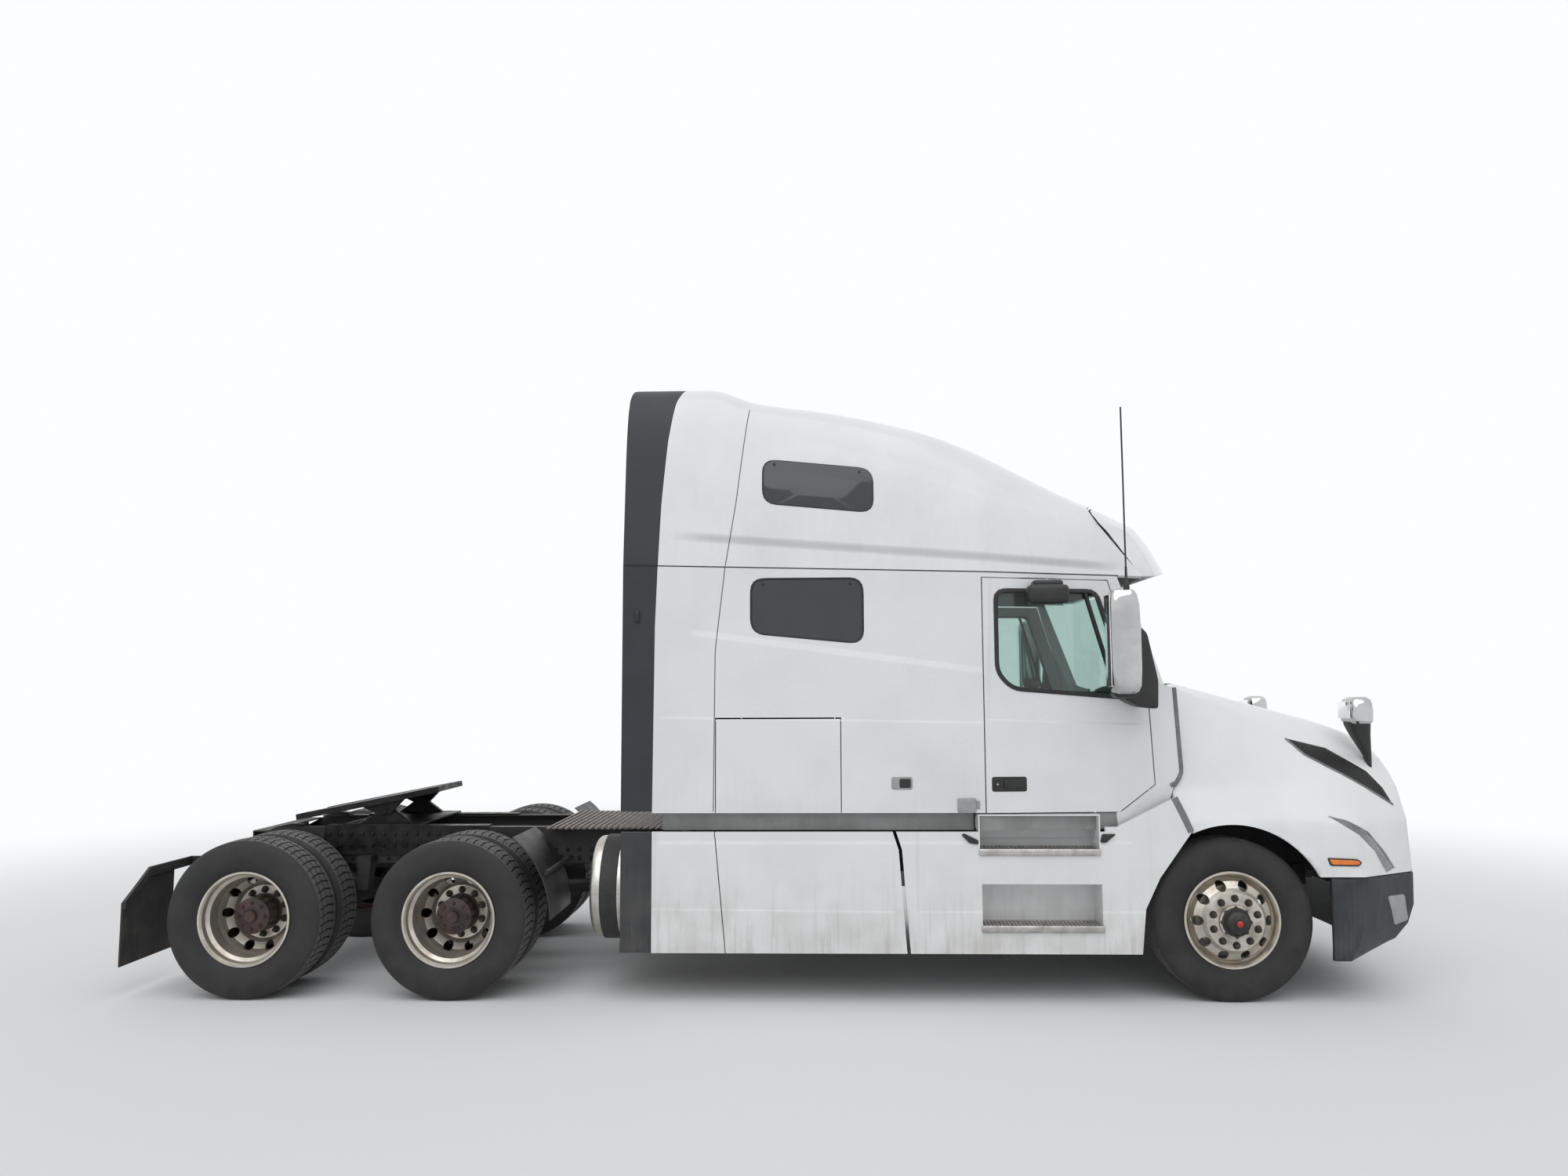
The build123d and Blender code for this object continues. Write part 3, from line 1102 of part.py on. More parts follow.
# Hood. Each row is a level section: height, rear edge, side's front end, front corner and the
# middle of the nose. The first three are a distance and how far in from the body's half width.
HOOD = [
    (775, 350, 0, -800, 5, -1215, 250, -1375),
    (1100, 350, 0, -780, 30, -1205, 270, -FRONT_OVERHANG),
    (1300, 330, 100, -760, 140, -1190, 340, -1375),
    (1390, 330, 127, -719, 195, -1175, 397, -1366),
    (1480, 330, 150, -650, 250, -1150, 470, -1345),
    (1540, 332, 165, -592, 287, -1124, 530, -1298),
    (1600, 335, 180, -520, 320, -1080, 580, -1215),
    (1660, 337, 196, -433, 348, -964, 604, -1089),
    (1720, 340, 210, -330, 370, -790, 620, -920),
    (1850, 360, 230, -60, 400, -330, 640, -450),
    (1985, 400, 270, 280, 420, 150, 660, 40),
]
HOOD_WALL = 25
HOOD_BOTTOM = 775
HOOD_REAR = [
    (392, 2100), (392, 1985), (302, 1952), (279, 1540), (272, 1420), (302, 1352), (342, 1268), (245, 1046),
    (245, 700), (2000, 700), (2000, 2100),
]
ARCH_R = 595
HEADLAMP = [
    (-613, 1141), (-720, 1116), (-862, 1043), (-978, 921), (-1059, 810), (-985, 786), (-905, 921), (-788, 1028),
]
VENT = [
    (-483, 1617), (-762, 1551), (-995, 1404), (-1074, 1299), (-1123, 1194), (-852, 1359), (-579, 1511),
]
GRILLE_HALF = 560
GRILLE_BOTTOM = 800
GRILLE_TOP = 1400
hood_forms = []
for inset in (0, HOOD_WALL):
    with BuildPart() as form:
        for z, rear_a, rear_in, side_a, side_in, corner_a, corner_in, nose_a in HOOD:
            rear = (aft(rear_a + 8 * inset), BODY_HALF - rear_in - inset)
            side_front = (aft(side_a + inset / 2), BODY_HALF - side_in - inset)
            corner = (aft(corner_a + inset), BODY_HALF - corner_in - 0.8 * inset)
            with BuildSketch(Plane.XY.offset(z - inset)):
                with BuildLine():
                    Polyline(rear, side_front, corner)
                    ThreePointArc(corner, (aft(nose_a + inset), 0), (corner[0], -corner[1]))
                    Polyline(
                        (corner[0], -corner[1]), (side_front[0], -side_front[1]), (rear[0], -rear[1]), rear
                    )
                make_face()
        loft(ruled=True)
    hood_forms.append(form.part)
hood_outside, hood_inside = hood_forms

with BuildPart() as hood_shell:
    add(hood_outside)
    add(hood_inside, mode=Mode.SUBTRACT)

COWL_LINE_AFT = 52        # middle of the hood's rear edge, in front of the windscreen
COWL_LINE_Y = BODY_HALF - 180
with BuildPart() as hood:
    add(hood_shell.part)
    with BuildSketch(Plane.XZ):
        side_outline(HOOD_REAR)
        with Locations((STEER_X, TYRE_R)):
            Circle(ARCH_R)
        side_outline(HEADLAMP)
        side_outline(VENT)
    extrude(amount=2 * BODY_HALF, both=True, mode=Mode.SUBTRACT)
    with BuildSketch(Plane.XY.offset(1890)):
        with BuildLine():
            line_side = COWL_LINE_AFT + glass_plan_r - (glass_plan_r**2 - COWL_LINE_Y**2) ** 0.5
            cowl_line = ThreePointArc(
                (aft(line_side), COWL_LINE_Y), (aft(COWL_LINE_AFT), 0), (aft(line_side), -COWL_LINE_Y)
            )
            Polyline(
                cowl_line @ 1, (aft(DOOR_REAR_AFT), -COWL_LINE_Y), (aft(DOOR_REAR_AFT), COWL_LINE_Y),
                cowl_line @ 0,
            )
        make_face()
    extrude(amount=200, mode=Mode.SUBTRACT)
    with BuildSketch(Plane.YZ.offset(aft(-1000))):
        with Locations((0, (GRILLE_BOTTOM + GRILLE_TOP) / 2)):
            RectangleRounded(2 * GRILLE_HALF, GRILLE_TOP - GRILLE_BOTTOM, 60)
    extrude(amount=500, mode=Mode.SUBTRACT)
    for y in (-HOOD_LUG_Y, HOOD_LUG_Y):
        with BuildSketch(Plane.XZ.offset(-y - HOOD_LUG_T / 2)):
            side_outline([(-1345, 795), (-1364, 795), (-1376, HOOD_HINGE_Z), (-1350, HOOD_HINGE_Z)])
            with Locations((aft(HOOD_HINGE_AFT), HOOD_HINGE_Z)):
                Circle(14)
                Circle(HOOD_PIN_R + PIN_CLEARANCE, mode=Mode.SUBTRACT)
        extrude(amount=HOOD_LUG_T)
save(hood.part, "hood")

with BuildPart() as headlamps:
    add(hood_shell.part)
    with BuildSketch(Plane.XZ):
        side_outline(HEADLAMP)
        offset(amount=-1)
    extrude(amount=2 * BODY_HALF, both=True, mode=Mode.INTERSECT)
save(headlamps.part, "headlamps")

with BuildPart() as grilles:
    add(hood_shell.part)
    with BuildPart(mode=Mode.PRIVATE) as grille_zone:
        with BuildSketch(Plane.XZ):
            side_outline(VENT)
            offset(amount=-1)
        extrude(amount=2 * BODY_HALF, both=True)
        with BuildSketch(Plane.YZ.offset(aft(-1000))):
            with Locations((0, (GRILLE_BOTTOM + GRILLE_TOP) / 2)):
                RectangleRounded(2 * GRILLE_HALF - 2, GRILLE_TOP - GRILLE_BOTTOM - 2, 59)
        extrude(amount=500)
    add(grille_zone.part, mode=Mode.INTERSECT)
save(grilles.part, "grilles")

# Mirrors on the hood: a stem from the hood's side and a small head
HOOD_MIRROR_Y = 850
with BuildPart() as hood_mirrors:
    with BuildSketch(Plane.XZ.offset(-HOOD_MIRROR_Y - 30)):
        side_outline([(-890, 1440), (-1010, 1440), (-1050, 1540), (-1035, 1740), (-965, 1740), (-930, 1560)])
    extrude(amount=60)
    with Locations((aft(-1000), HOOD_MIRROR_Y, 1800)):
        Box(110, 200, 170)
    fillet(hood_mirrors.faces().sort_by(Axis.Z)[-1].edges(), 40)
    add(hood_outside, mode=Mode.SUBTRACT)
    mirror(about=Plane.XZ)
save(hood_mirrors.part, "hood_mirrors")

# Bumper. Each row is a level section: height, side (how far in from the body's half width), the
# side's front end, the front corner (distance and how far in) and the middle of the nose.
BUMPER = [
    (262, 30, -700, -960, 320, -1100),
    (350, 22, -740, -1100, 280, -1262),
    (450, 20, -780, -1175, 260, -1340),
    (570, 20, -800, -1213, 250, -1376),
    (768, 15, -810, -1218, 248, -FRONT_OVERHANG),
]
BUMPER_WALL = 30
BUMPER_REAR_AFT = -600
CENTRE_HALF = BODY_HALF - 320
bumper_forms = []
for inset in (0, BUMPER_WALL):
    with BuildPart() as form:
        for z, side_in, side_a, corner_a, corner_in, nose_a in BUMPER:
            rear = (aft(BUMPER_REAR_AFT + 4 * inset), BODY_HALF - side_in - inset)
            side_front = (aft(side_a + inset / 2), BODY_HALF - side_in - inset)
            corner = (aft(corner_a + inset), BODY_HALF - corner_in - 0.8 * inset)
            with BuildSketch(Plane.XY.offset(z)):
                with BuildLine():
                    Polyline(rear, side_front, corner)
                    ThreePointArc(corner, (aft(nose_a + inset), 0), (corner[0], -corner[1]))
                    Polyline(
                        (corner[0], -corner[1]), (side_front[0], -side_front[1]), (rear[0], -rear[1]), rear
                    )
                make_face()
        loft(ruled=True)
    bumper_forms.append(form.part)

with BuildPart() as bumper:
    add(bumper_forms[0])
    add(bumper_forms[1], mode=Mode.SUBTRACT)
    with Locations((aft(-1000), 0, 500)):
        Box(1000, 2 * CENTRE_HALF + 2 * SEAT_GAP, 1000, mode=Mode.SUBTRACT)
save(bumper.part, "bumper")

with BuildPart() as bumper_centre:
    add(bumper_forms[0])
    add(bumper_forms[1], mode=Mode.SUBTRACT)
    with Locations((aft(-1000), 0, 500)):
        Box(1000, 2 * CENTRE_HALF, 1000, mode=Mode.INTERSECT)
    with Locations((aft(HOOD_HINGE_AFT), 0, HOOD_HINGE_Z + 80)):
        with GridLocations(0, 2 * HOOD_LUG_Y, 1, 2):
            Box(200, HOOD_LUG_T + 20 + 2 * HOOD_EAR_T, 200, mode=Mode.SUBTRACT)
save(bumper_centre.part, "bumper_centre")

# Cross channels, cab beams and bumper brackets
with BuildPart() as crossmembers:
    for a in MEMBER_AFTS:
        with BuildSketch(Plane.XZ):
            with Locations((aft(a), (RAIL_BOTTOM + RAIL_TOP) / 2)):
                Rectangle(MEMBER_WIDTH, MEMBER_HEIGHT)
            with Locations((aft(a) + MEMBER_WALL, (RAIL_BOTTOM + RAIL_TOP) / 2)):
                Rectangle(MEMBER_WIDTH, MEMBER_HEIGHT - 2 * MEMBER_WALL, mode=Mode.SUBTRACT)
        extrude(amount=RAIL_HALF - RAIL_WALL, both=True)
    for a in BEAM_AFTS:
        with Locations((aft(a), 0, RAIL_TOP + BEAM_HEIGHT / 2)):
            Box(BEAM_WIDTH, 2 * (BODY_HALF - SKIRT_T - SEAT_GAP), BEAM_HEIGHT)
    post_height = CAB_BOTTOM - RAIL_TOP - BEAM_HEIGHT
    for a in POST_AFTS:
        for y in (-POST_Y, POST_Y):
            with Locations((aft(a), y, CAB_BOTTOM - post_height / 2)):
                Box(POST_SIDE, POST_SIDE, post_height)
    with BuildPart(mode=Mode.PRIVATE) as brackets:
        bracket_run = RAIL_FRONT_AFT - SEAT_GAP + FRONT_OVERHANG
        with Locations((
            aft(RAIL_FRONT_AFT - SEAT_GAP - bracket_run / 2), 0, (BRACKET_BOTTOM + BRACKET_TOP) / 2,
        )):
            with GridLocations(0, 2 * BRACKET_Y, 1, 2):
                Box(bracket_run, BRACKET_T, BRACKET_TOP - BRACKET_BOTTOM)
        add(bumper_forms[1].moved(Location((-SEAT_GAP, 0, 0))), mode=Mode.INTERSECT)
    add(brackets.part)
    with Locations((aft(HOOD_HINGE_AFT + EAR_REACH - HINGE_BAR / 2), 0, HOOD_HINGE_Z - 30)):
        Box(HINGE_BAR, 2 * BRACKET_Y, 60)
    for y in (-HOOD_LUG_Y, HOOD_LUG_Y):
        for ear_y in (y - HOOD_LUG_T / 2 - 5, y + HOOD_LUG_T / 2 + 5 + HOOD_EAR_T):
            with BuildSketch(Plane.XZ.offset(-ear_y)):
                side_outline([
                    (HOOD_HINGE_AFT + EAR_REACH, HOOD_HINGE_Z - 60), (HOOD_HINGE_AFT + EAR_REACH, HOOD_HINGE_Z),
                    (HOOD_HINGE_AFT, HOOD_HINGE_Z + 13), (HOOD_HINGE_AFT, HOOD_HINGE_Z - 13),
                    (HOOD_HINGE_AFT + 25, HOOD_HINGE_Z - 13), (HOOD_HINGE_AFT + 48, HOOD_HINGE_Z - 60),
                ])
                with Locations((aft(HOOD_HINGE_AFT), HOOD_HINGE_Z)):
                    Circle(13)
            extrude(amount=HOOD_EAR_T)
        with Locations((aft(HOOD_HINGE_AFT), y, HOOD_HINGE_Z)):
            Cylinder(HOOD_PIN_R, HOOD_LUG_T + 10 + 2 * HOOD_EAR_T, rotation=(90, 0, 0))
save(crossmembers.part, "crossmembers")

# Side skirts with their step recesses; each recess is front end, rear end, bottom, top
SKIRT_GAP = [(2096, SKIRT_TOP), (2060, 940), (2014, SKIRT_BOTTOM)]   # slanted joint, front edge
SKIRT_GAP_WIDTH = 22
SKIRT_SEAM = [(3240, SKIRT_TOP), (3170, SKIRT_BOTTOM)]
SKIRT_POINTS = [
    (583, SKIRT_BOTTOM), (554, 579), (460, 770), (256, 1048), (352, 1261), (716, 1082), (790, 1082),
    (790, SKIRT_TOP), (CAB_REAR_AFT, SKIRT_TOP), (CAB_REAR_AFT, SKIRT_BOTTOM),
]
RECESSES = [(830, 1573, 909, SKIRT_TOP + 100), (820, 1565, 440, 731)]
RECESS_IN = BODY_HALF - 220
RECESS_WALL = 8
TREAD_T = 30
with BuildPart() as side_skirts:
    with BuildSketch(Plane.XZ.offset(-BODY_HALF)):
        side_outline(SKIRT_POINTS)
        for line, width in ((SKIRT_GAP, SKIRT_GAP_WIDTH), (SKIRT_SEAM, PANEL_GAP)):
            side_outline([*line, *[(a + width, z) for a, z in reversed(line)]], mode=Mode.SUBTRACT)
    extrude(amount=SKIRT_T)
    for front, rear, bottom, top in RECESSES:
        with Locations((aft((front + rear) / 2), (RECESS_IN + BODY_HALF) / 2, (bottom + top) / 2)):
            Box(
                rear - front + 2 * RECESS_WALL, BODY_HALF - RECESS_IN, top - bottom + 2 * RECESS_WALL
            )
            Box(rear - front, BODY_HALF - RECESS_IN - RECESS_WALL, top - bottom, mode=Mode.SUBTRACT)
        with Locations((aft((front + rear) / 2), BODY_HALF - RECESS_WALL, (bottom + top) / 2)):
            Box(rear - front, 4 * RECESS_WALL, top - bottom, mode=Mode.SUBTRACT)
    mirror(about=Plane.XZ)
save(side_skirts.part, "side_skirts")

# Step treads on the recess floors
TREAD_CLEARANCE = 3
with BuildPart() as steps:
    for front, rear, bottom, _ in RECESSES:
        tread_in = RECESS_IN + RECESS_WALL + TREAD_CLEARANCE
        with Locations((
            aft((front + rear) / 2), (tread_in + BODY_HALF) / 2, bottom + SEAT_GAP + TREAD_T / 2,
        )):
            Box(rear - front - 2 * TREAD_CLEARANCE, BODY_HALF - tread_in, TREAD_T)
    mirror(about=Plane.XZ)
save(steps.part, "steps")

# Dashboard with the steering wheel
DASH_FRONT_AFT = FIREWALL_AFT + FIREWALL_T
WHEEL_Y = 550
WHEEL_R = 225
WHEEL_TUBE_R = 16
dash_half = side_y(DASH_FRONT_AFT) - DOOR_T - 2 * DOOR_GAP
with BuildPart() as dashboard:
    with BuildSketch(Plane.XZ.offset(-dash_half)):
        side_outline([
            (DASH_FRONT_AFT + SEAT_GAP, 1560), (DASH_FRONT_AFT + SEAT_GAP, COWL_Z - COWL_T - SEAT_GAP),
            (800, COWL_Z - COWL_T - SEAT_GAP), (860, 1780), (840, 1620), (700, 1560),
        ])
    extrude(amount=2 * dash_half)
    wheel_plane_up = Plane(origin=(aft(1010), WHEEL_Y, 1850), z_dir=(-0.64, 0, 0.77))
    with Locations(wheel_plane_up):
        Torus(WHEEL_R, WHEEL_TUBE_R)
        Cylinder(60, 30)
        Box(2 * WHEEL_R - WHEEL_TUBE_R, 40, 16)
        with Locations((0, 0, -150)):
            Cylinder(28, 300)
save(dashboard.part, "dashboard")

# Seats and the bunk
BUNK_BOTTOM = 1790
BUNK_T = 160
with BuildPart() as seats_and_bunk:
    floor_top = CAB_BOTTOM + FLOOR_T + SEAT_GAP
    for y in (-WHEEL_Y, WHEEL_Y):
        with BuildSketch(Plane.XZ.offset(-y - 240)):
            side_outline([
                (1360, floor_top), (1360, 1560), (1290, 1570), (1290, 1690), (1700, 1690), (1800, 2330),
                (1960, 2310),
                (1850, 1600), (1800, 1540), (1740, 1540), (1740, floor_top),
            ])
        extrude(amount=480)
        with BuildSketch(Plane.XZ.offset(-y - 140)):
            side_outline([(1810, 2320), (1825, 2520), (1925, 2510), (1920, 2305)])
        extrude(amount=280)
    with Locations((aft(3150), 0, BUNK_BOTTOM + BUNK_T / 2)):
        Box(860, 2 * (tub_half - 20), BUNK_T)
    with Locations((aft(2740), 0, (floor_top + BUNK_BOTTOM) / 2)):
        Box(40, 2 * (tub_half - 20), BUNK_BOTTOM - floor_top)
save(seats_and_bunk.part, "seats_and_bunk")
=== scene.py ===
import bpy
import bmesh
import numpy as np
from math import cos, pi, radians, sin
from mathutils import Matrix, Vector


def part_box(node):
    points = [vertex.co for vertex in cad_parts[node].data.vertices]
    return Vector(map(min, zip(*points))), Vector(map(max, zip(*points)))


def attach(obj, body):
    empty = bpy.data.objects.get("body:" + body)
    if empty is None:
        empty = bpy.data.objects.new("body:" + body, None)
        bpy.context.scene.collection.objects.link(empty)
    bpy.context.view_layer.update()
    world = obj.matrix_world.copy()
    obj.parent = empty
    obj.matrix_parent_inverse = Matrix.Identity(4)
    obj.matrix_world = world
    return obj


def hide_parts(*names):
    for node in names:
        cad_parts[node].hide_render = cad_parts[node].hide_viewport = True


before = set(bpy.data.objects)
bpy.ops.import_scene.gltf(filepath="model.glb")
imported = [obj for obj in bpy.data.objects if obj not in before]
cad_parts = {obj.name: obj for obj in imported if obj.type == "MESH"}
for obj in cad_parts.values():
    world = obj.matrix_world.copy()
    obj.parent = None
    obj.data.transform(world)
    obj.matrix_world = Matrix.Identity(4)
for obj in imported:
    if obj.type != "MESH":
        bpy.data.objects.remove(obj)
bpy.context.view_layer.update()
print("frame loaded:", len(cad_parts), "nodes")

# Every place along the truck is a distance behind the steer axle, in metres, as on a layout drawing
truck = {
    "steerX": (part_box("steer_tyre_right")[0].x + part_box("steer_tyre_right")[1].x) / 2,
    "bodyHalf": 1.22,
    "taper": 0.09,
    "doorRear": 1.525,
    "cabFront": 0.4,
    "tyreRadius": 0.5,
    "driveAxles": (4.94, 6.26),
}


def aft(distance):
    return truck["steerX"] - distance


def sideY(a):
    # half width over the cab side: straight behind the door, drawn in evenly ahead of its rear edge
    run = truck["doorRear"] - truck["cabFront"]
    return truck["bodyHalf"] - truck["taper"] * np.maximum(0, truck["doorRear"] - np.asarray(a, float)) / run


# skins: half width of a surface at a distance and a height
hoodRows = np.array([
    (0.775, 0.350, 1.220, -0.800, 1.215, -1.215, 0.970, -1.375),
    (1.100, 0.350, 1.220, -0.780, 1.190, -1.205, 0.950, -1.380),
    (1.300, 0.330, 1.120, -0.760, 1.080, -1.190, 0.880, -1.375),
    (1.390, 0.330, 1.093, -0.719, 1.025, -1.175, 0.823, -1.366),
    (1.480, 0.330, 1.070, -0.650, 0.970, -1.150, 0.750, -1.345),
    (1.540, 0.332, 1.055, -0.592, 0.933, -1.124, 0.690, -1.298),
    (1.600, 0.335, 1.040, -0.520, 0.900, -1.080, 0.640, -1.215),
    (1.660, 0.337, 1.024, -0.433, 0.872, -0.964, 0.616, -1.089),
    (1.720, 0.340, 1.010, -0.330, 0.850, -0.790, 0.600, -0.920),
    (1.850, 0.360, 0.990, -0.060, 0.820, -0.330, 0.580, -0.450),
    (1.985, 0.400, 0.950, 0.280, 0.800, 0.150, 0.560, 0.040),
])
bumperRows = np.array([
    (0.262, -0.60, 1.190, -0.700, 1.190, -0.960, 0.900, -1.100),
    (0.350, -0.60, 1.198, -0.740, 1.198, -1.100, 0.940, -1.262),
    (0.450, -0.60, 1.200, -0.780, 1.200, -1.175, 0.960, -1.340),
    (0.570, -0.60, 1.200, -0.800, 1.200, -1.213, 0.970, -1.376),
    (0.768, -0.60, 1.205, -0.810, 1.205, -1.218, 0.972, -1.380),
])
crownRows = np.array([
    (0.060, 1.103, 1.003, 2.900, 2.980, 3.120),
    (0.500, 1.138, 1.038, 2.970, 3.060, 3.200),
    (0.800, 1.162, 1.062, 3.055, 3.176, 3.310),
    (1.110, 1.187, 1.087, 3.160, 3.335, 3.450),
    (1.310, 1.203, 1.103, 3.224, 3.446, 3.538),
    (1.525, 1.220, 1.120, 3.295, 3.562, 3.628),
    (1.850, 1.220, 1.120, 3.410, 3.695, 3.740),
    (2.160, 1.220, 1.120, 3.485, 3.779, 3.817),
    (2.480, 1.220, 1.120, 3.550, 3.845, 3.880),
    (3.000, 1.220, 1.120, 3.650, 3.925, 3.955),
    (3.310, 1.220, 1.120, 3.705, 4.020, 4.050),
    (3.840, 1.220, 1.120, 3.720, 4.020, 4.050),
])


def spread(first, second):
    return np.broadcast_arrays(np.asarray(first, float), np.asarray(second, float))


def unit(vectors):
    vectors = np.asarray(vectors, float)
    return vectors / np.linalg.norm(vectors, axis=-1, keepdims=True)


def levelSkin(rows):
    # half width read from level sections, straight between their corners and between the levels
    def half(a, z):
        a, z = spread(a, z)
        at = [np.interp(z, rows[:, 0], rows[:, k]) for k in range(rows.shape[1])]
        rearShare = np.clip((a - at[3]) / (at[1] - at[3]), 0, 1)
        frontShare = np.clip((at[3] - a) / (at[3] - at[5]), 0, 1)
        rearPart = at[4] + rearShare * (at[2] - at[4])
        frontPart = at[4] + frontShare * (at[6] - at[4])
        return np.where(a > at[3], rearPart, frontPart)
    return half


hoodSkin = levelSkin(hoodRows)
bumperSkin = levelSkin(bumperRows)


def seamZ(a):
    a = np.asarray(a, float)
    rear = 2.697 + (a - 1.525) / 2.315 * 0.058
    front = 2.665 + (a - 0.4) / 1.125 * 0.032
    return np.where(a > 1.525, rear, front)


def cabSkin(a, z):
    a, z = spread(a, z)
    return sideY(a) + 0 * z


def skirtSkin(a, z):
    a, z = spread(a, z)
    return truck["bodyHalf"] + 0 * a + 0 * z


def onSkin(skin, a, z, sign, out=0.0):
    # point on a skin moved outwards along its own normal, from the cross product of its two slopes
    a, z = spread(a, z)
    step = 0.004
    slopeA = (skin(a + step, z) - skin(a - step, z)) / (2 * step)
    slopeZ = (skin(a, z + step) - skin(a, z - step)) / (2 * step)
    normal = unit(np.stack([slopeA, np.ones_like(a), -slopeZ], -1))
    base = np.stack([aft(a), skin(a, z), z], -1)
    point = base + normal * np.asarray(out, float)[..., None]
    return point * np.array([1, sign, 1]), normal * np.array([1, sign, 1])


# surfaces on two parameters; each patch is (points, wraps along u, wraps along v)
def lathe(profile, centre, axis, turns=48):
    # point = centre + r(s) (cos t e1 + sin t e2) + h(s) axis
    profile = np.asarray(profile, float)
    axis = unit(axis)
    other = np.array([0, 0, 1.0]) if abs(axis[2]) < 0.9 else np.array([1.0, 0, 0])
    e1 = unit(np.cross(axis, other))
    e2 = np.cross(axis, e1)
    t = np.linspace(0, 2 * pi, turns, endpoint=False)[:, None, None]
    r, h = profile[None, :, 0, None], profile[None, :, 1, None]
    return (np.asarray(centre, float) + r * (np.cos(t) * e1 + np.sin(t) * e2) + h * axis, True, False)


def sweep(path, section, up, closed=False):
    # point = path(t) + a side(t) + b up(t), with side square to the path and to up
    path, section = np.asarray(path, float), np.asarray(section, float)
    up = np.broadcast_to(np.asarray(up, float), path.shape)
    if closed:
        along = np.roll(path, -1, 0) - np.roll(path, 1, 0)
    else:
        along = np.gradient(path, axis=0)
    side = unit(np.cross(unit(along), up))
    grid = path[:, None] + section[None, :, 0, None] * side[:, None] + section[None, :, 1, None] * up[:, None]
    if not closed:
        first = np.repeat(grid[:1].mean(1, keepdims=True), grid.shape[1], 1)
        last = np.repeat(grid[-1:].mean(1, keepdims=True), grid.shape[1], 1)
        grid = np.concatenate([first, grid, last])
    return (grid, closed, True)


def tube(path, radius, sides=10, closed=False):
    # a round section carried along a path, on an up direction that never lies along the path
    path = np.asarray(path, float)
    t = np.linspace(0, 2 * pi, sides, endpoint=False)
    run = np.abs(path[-1] - path[0])
    up = np.eye(3)[int(np.argmin(run))] if not closed else np.array([0.0, 1.0, 0.0])
    along = unit(np.gradient(path, axis=0))
    upright = unit(up - (along @ up)[:, None] * along)
    return sweep(path, np.stack([radius * np.cos(t), radius * np.sin(t)], -1), upright, closed)


def roundBox(centre, size, radius, steps=3, turn=None):
    # corner of a smaller box plus a ball's radius: p = sign(d) (half - r) + r d, over all directions d
    half = np.asarray(size, float) / 2
    quarter = np.linspace(0, pi / 2, steps + 1)
    t = np.concatenate([quarter + k * pi / 2 for k in range(4)])
    corner = np.repeat(np.array([(1, 1), (-1, 1), (-1, -1), (1, -1)], float), steps + 1, 0)
    f = np.concatenate([quarter, quarter + pi / 2])
    level = np.repeat([1.0, -1.0], steps + 1)
    d = np.stack([
        np.sin(f)[:, None] * np.cos(t)[None], np.sin(f)[:, None] * np.sin(t)[None],
        np.cos(f)[:, None] + 0 * t[None],
    ], -1)
    s = np.stack([
        corner[None, :, 0] + 0 * f[:, None], corner[None, :, 1] + 0 * f[:, None],
        level[:, None] + 0 * t[None],
    ], -1)
    grid = s * (half - radius) + radius * d
    poles = np.zeros((2, 1, 3))
    poles[0, 0, 2], poles[1, 0, 2] = half[2], -half[2]
    grid = np.concatenate([np.repeat(poles[:1], len(t), 1), grid, np.repeat(poles[1:], len(t), 1)])
    if turn is not None:
        grid = grid @ np.array(turn.to_3x3()).T
    return (grid + np.asarray(centre, float), False, True)


def roundedOutline(corners, radius, steps=5):
    # outline with each corner cut to a quadratic arc between points at one radius from it
    corners = np.asarray(corners, float)
    before = corners + unit(np.roll(corners, 1, 0) - corners) * radius
    after = corners + unit(np.roll(corners, -1, 0) - corners) * radius
    s = np.linspace(0, 1, steps)[None, :, None]
    arcs = (1 - s)**2 * before[:, None] + 2 * s * (1 - s) * corners[:, None] + s**2 * after[:, None]
    return arcs.reshape(-1, corners.shape[1])


def denser(points, pitch, closed=False):
    # even spacing along a line of points
    points = np.asarray(points, float)
    if closed:
        points = np.concatenate([points, points[:1]])
    runs = np.linalg.norm(np.diff(points, axis=0), axis=1)
    place = np.concatenate([[0], np.cumsum(runs)])
    count = max(2, int(place[-1] / pitch) + 1)
    at = np.linspace(0, place[-1], count + 1)
    out = np.stack([np.interp(at, place, points[:, k]) for k in range(points.shape[1])], -1)
    return out[:-1] if closed else out


def sidePad(outline, skin, sign, low, high, edge=0.004, rings=3):
    # a pad on a skin: its outline rises from low to high out of the surface, with a rounded edge
    outline = np.asarray(outline, float)
    middle = outline.mean(0)
    reach = outline - middle
    size = np.linalg.norm(reach, axis=1, keepdims=True)
    t = np.linspace(0, pi / 2, rings)
    inset = np.concatenate([[0.0], edge * (1 - np.cos(t))])
    rise = np.concatenate([[low], high - edge + edge * np.sin(t)])
    rows = [onSkin(skin, middle[0] + 0 * outline[:, 0], middle[1] + 0 * outline[:, 0], sign, low)[0]]
    for i, out in zip(inset, rise):
        ring = middle + reach * (1 - i / size)
        rows.append(onSkin(skin, ring[:, 0], ring[:, 1], sign, out)[0])
    half = middle + reach * 0.5
    rows.append(onSkin(skin, half[:, 0], half[:, 1], sign, high)[0])
    rows.append(onSkin(skin, middle[0] + 0 * outline[:, 0], middle[1] + 0 * outline[:, 0], sign, high)[0])
    return (np.stack(rows), False, True)


def skinStrip(line, skin, sign, section, closed=False, pitch=0.04):
    # a strip's section carried along a line on a skin, upright on the skin's own normal
    line = denser(line, pitch, closed)
    path, normal = onSkin(skin, line[:, 0], line[:, 1], sign)
    return sweep(path, section, normal, closed)


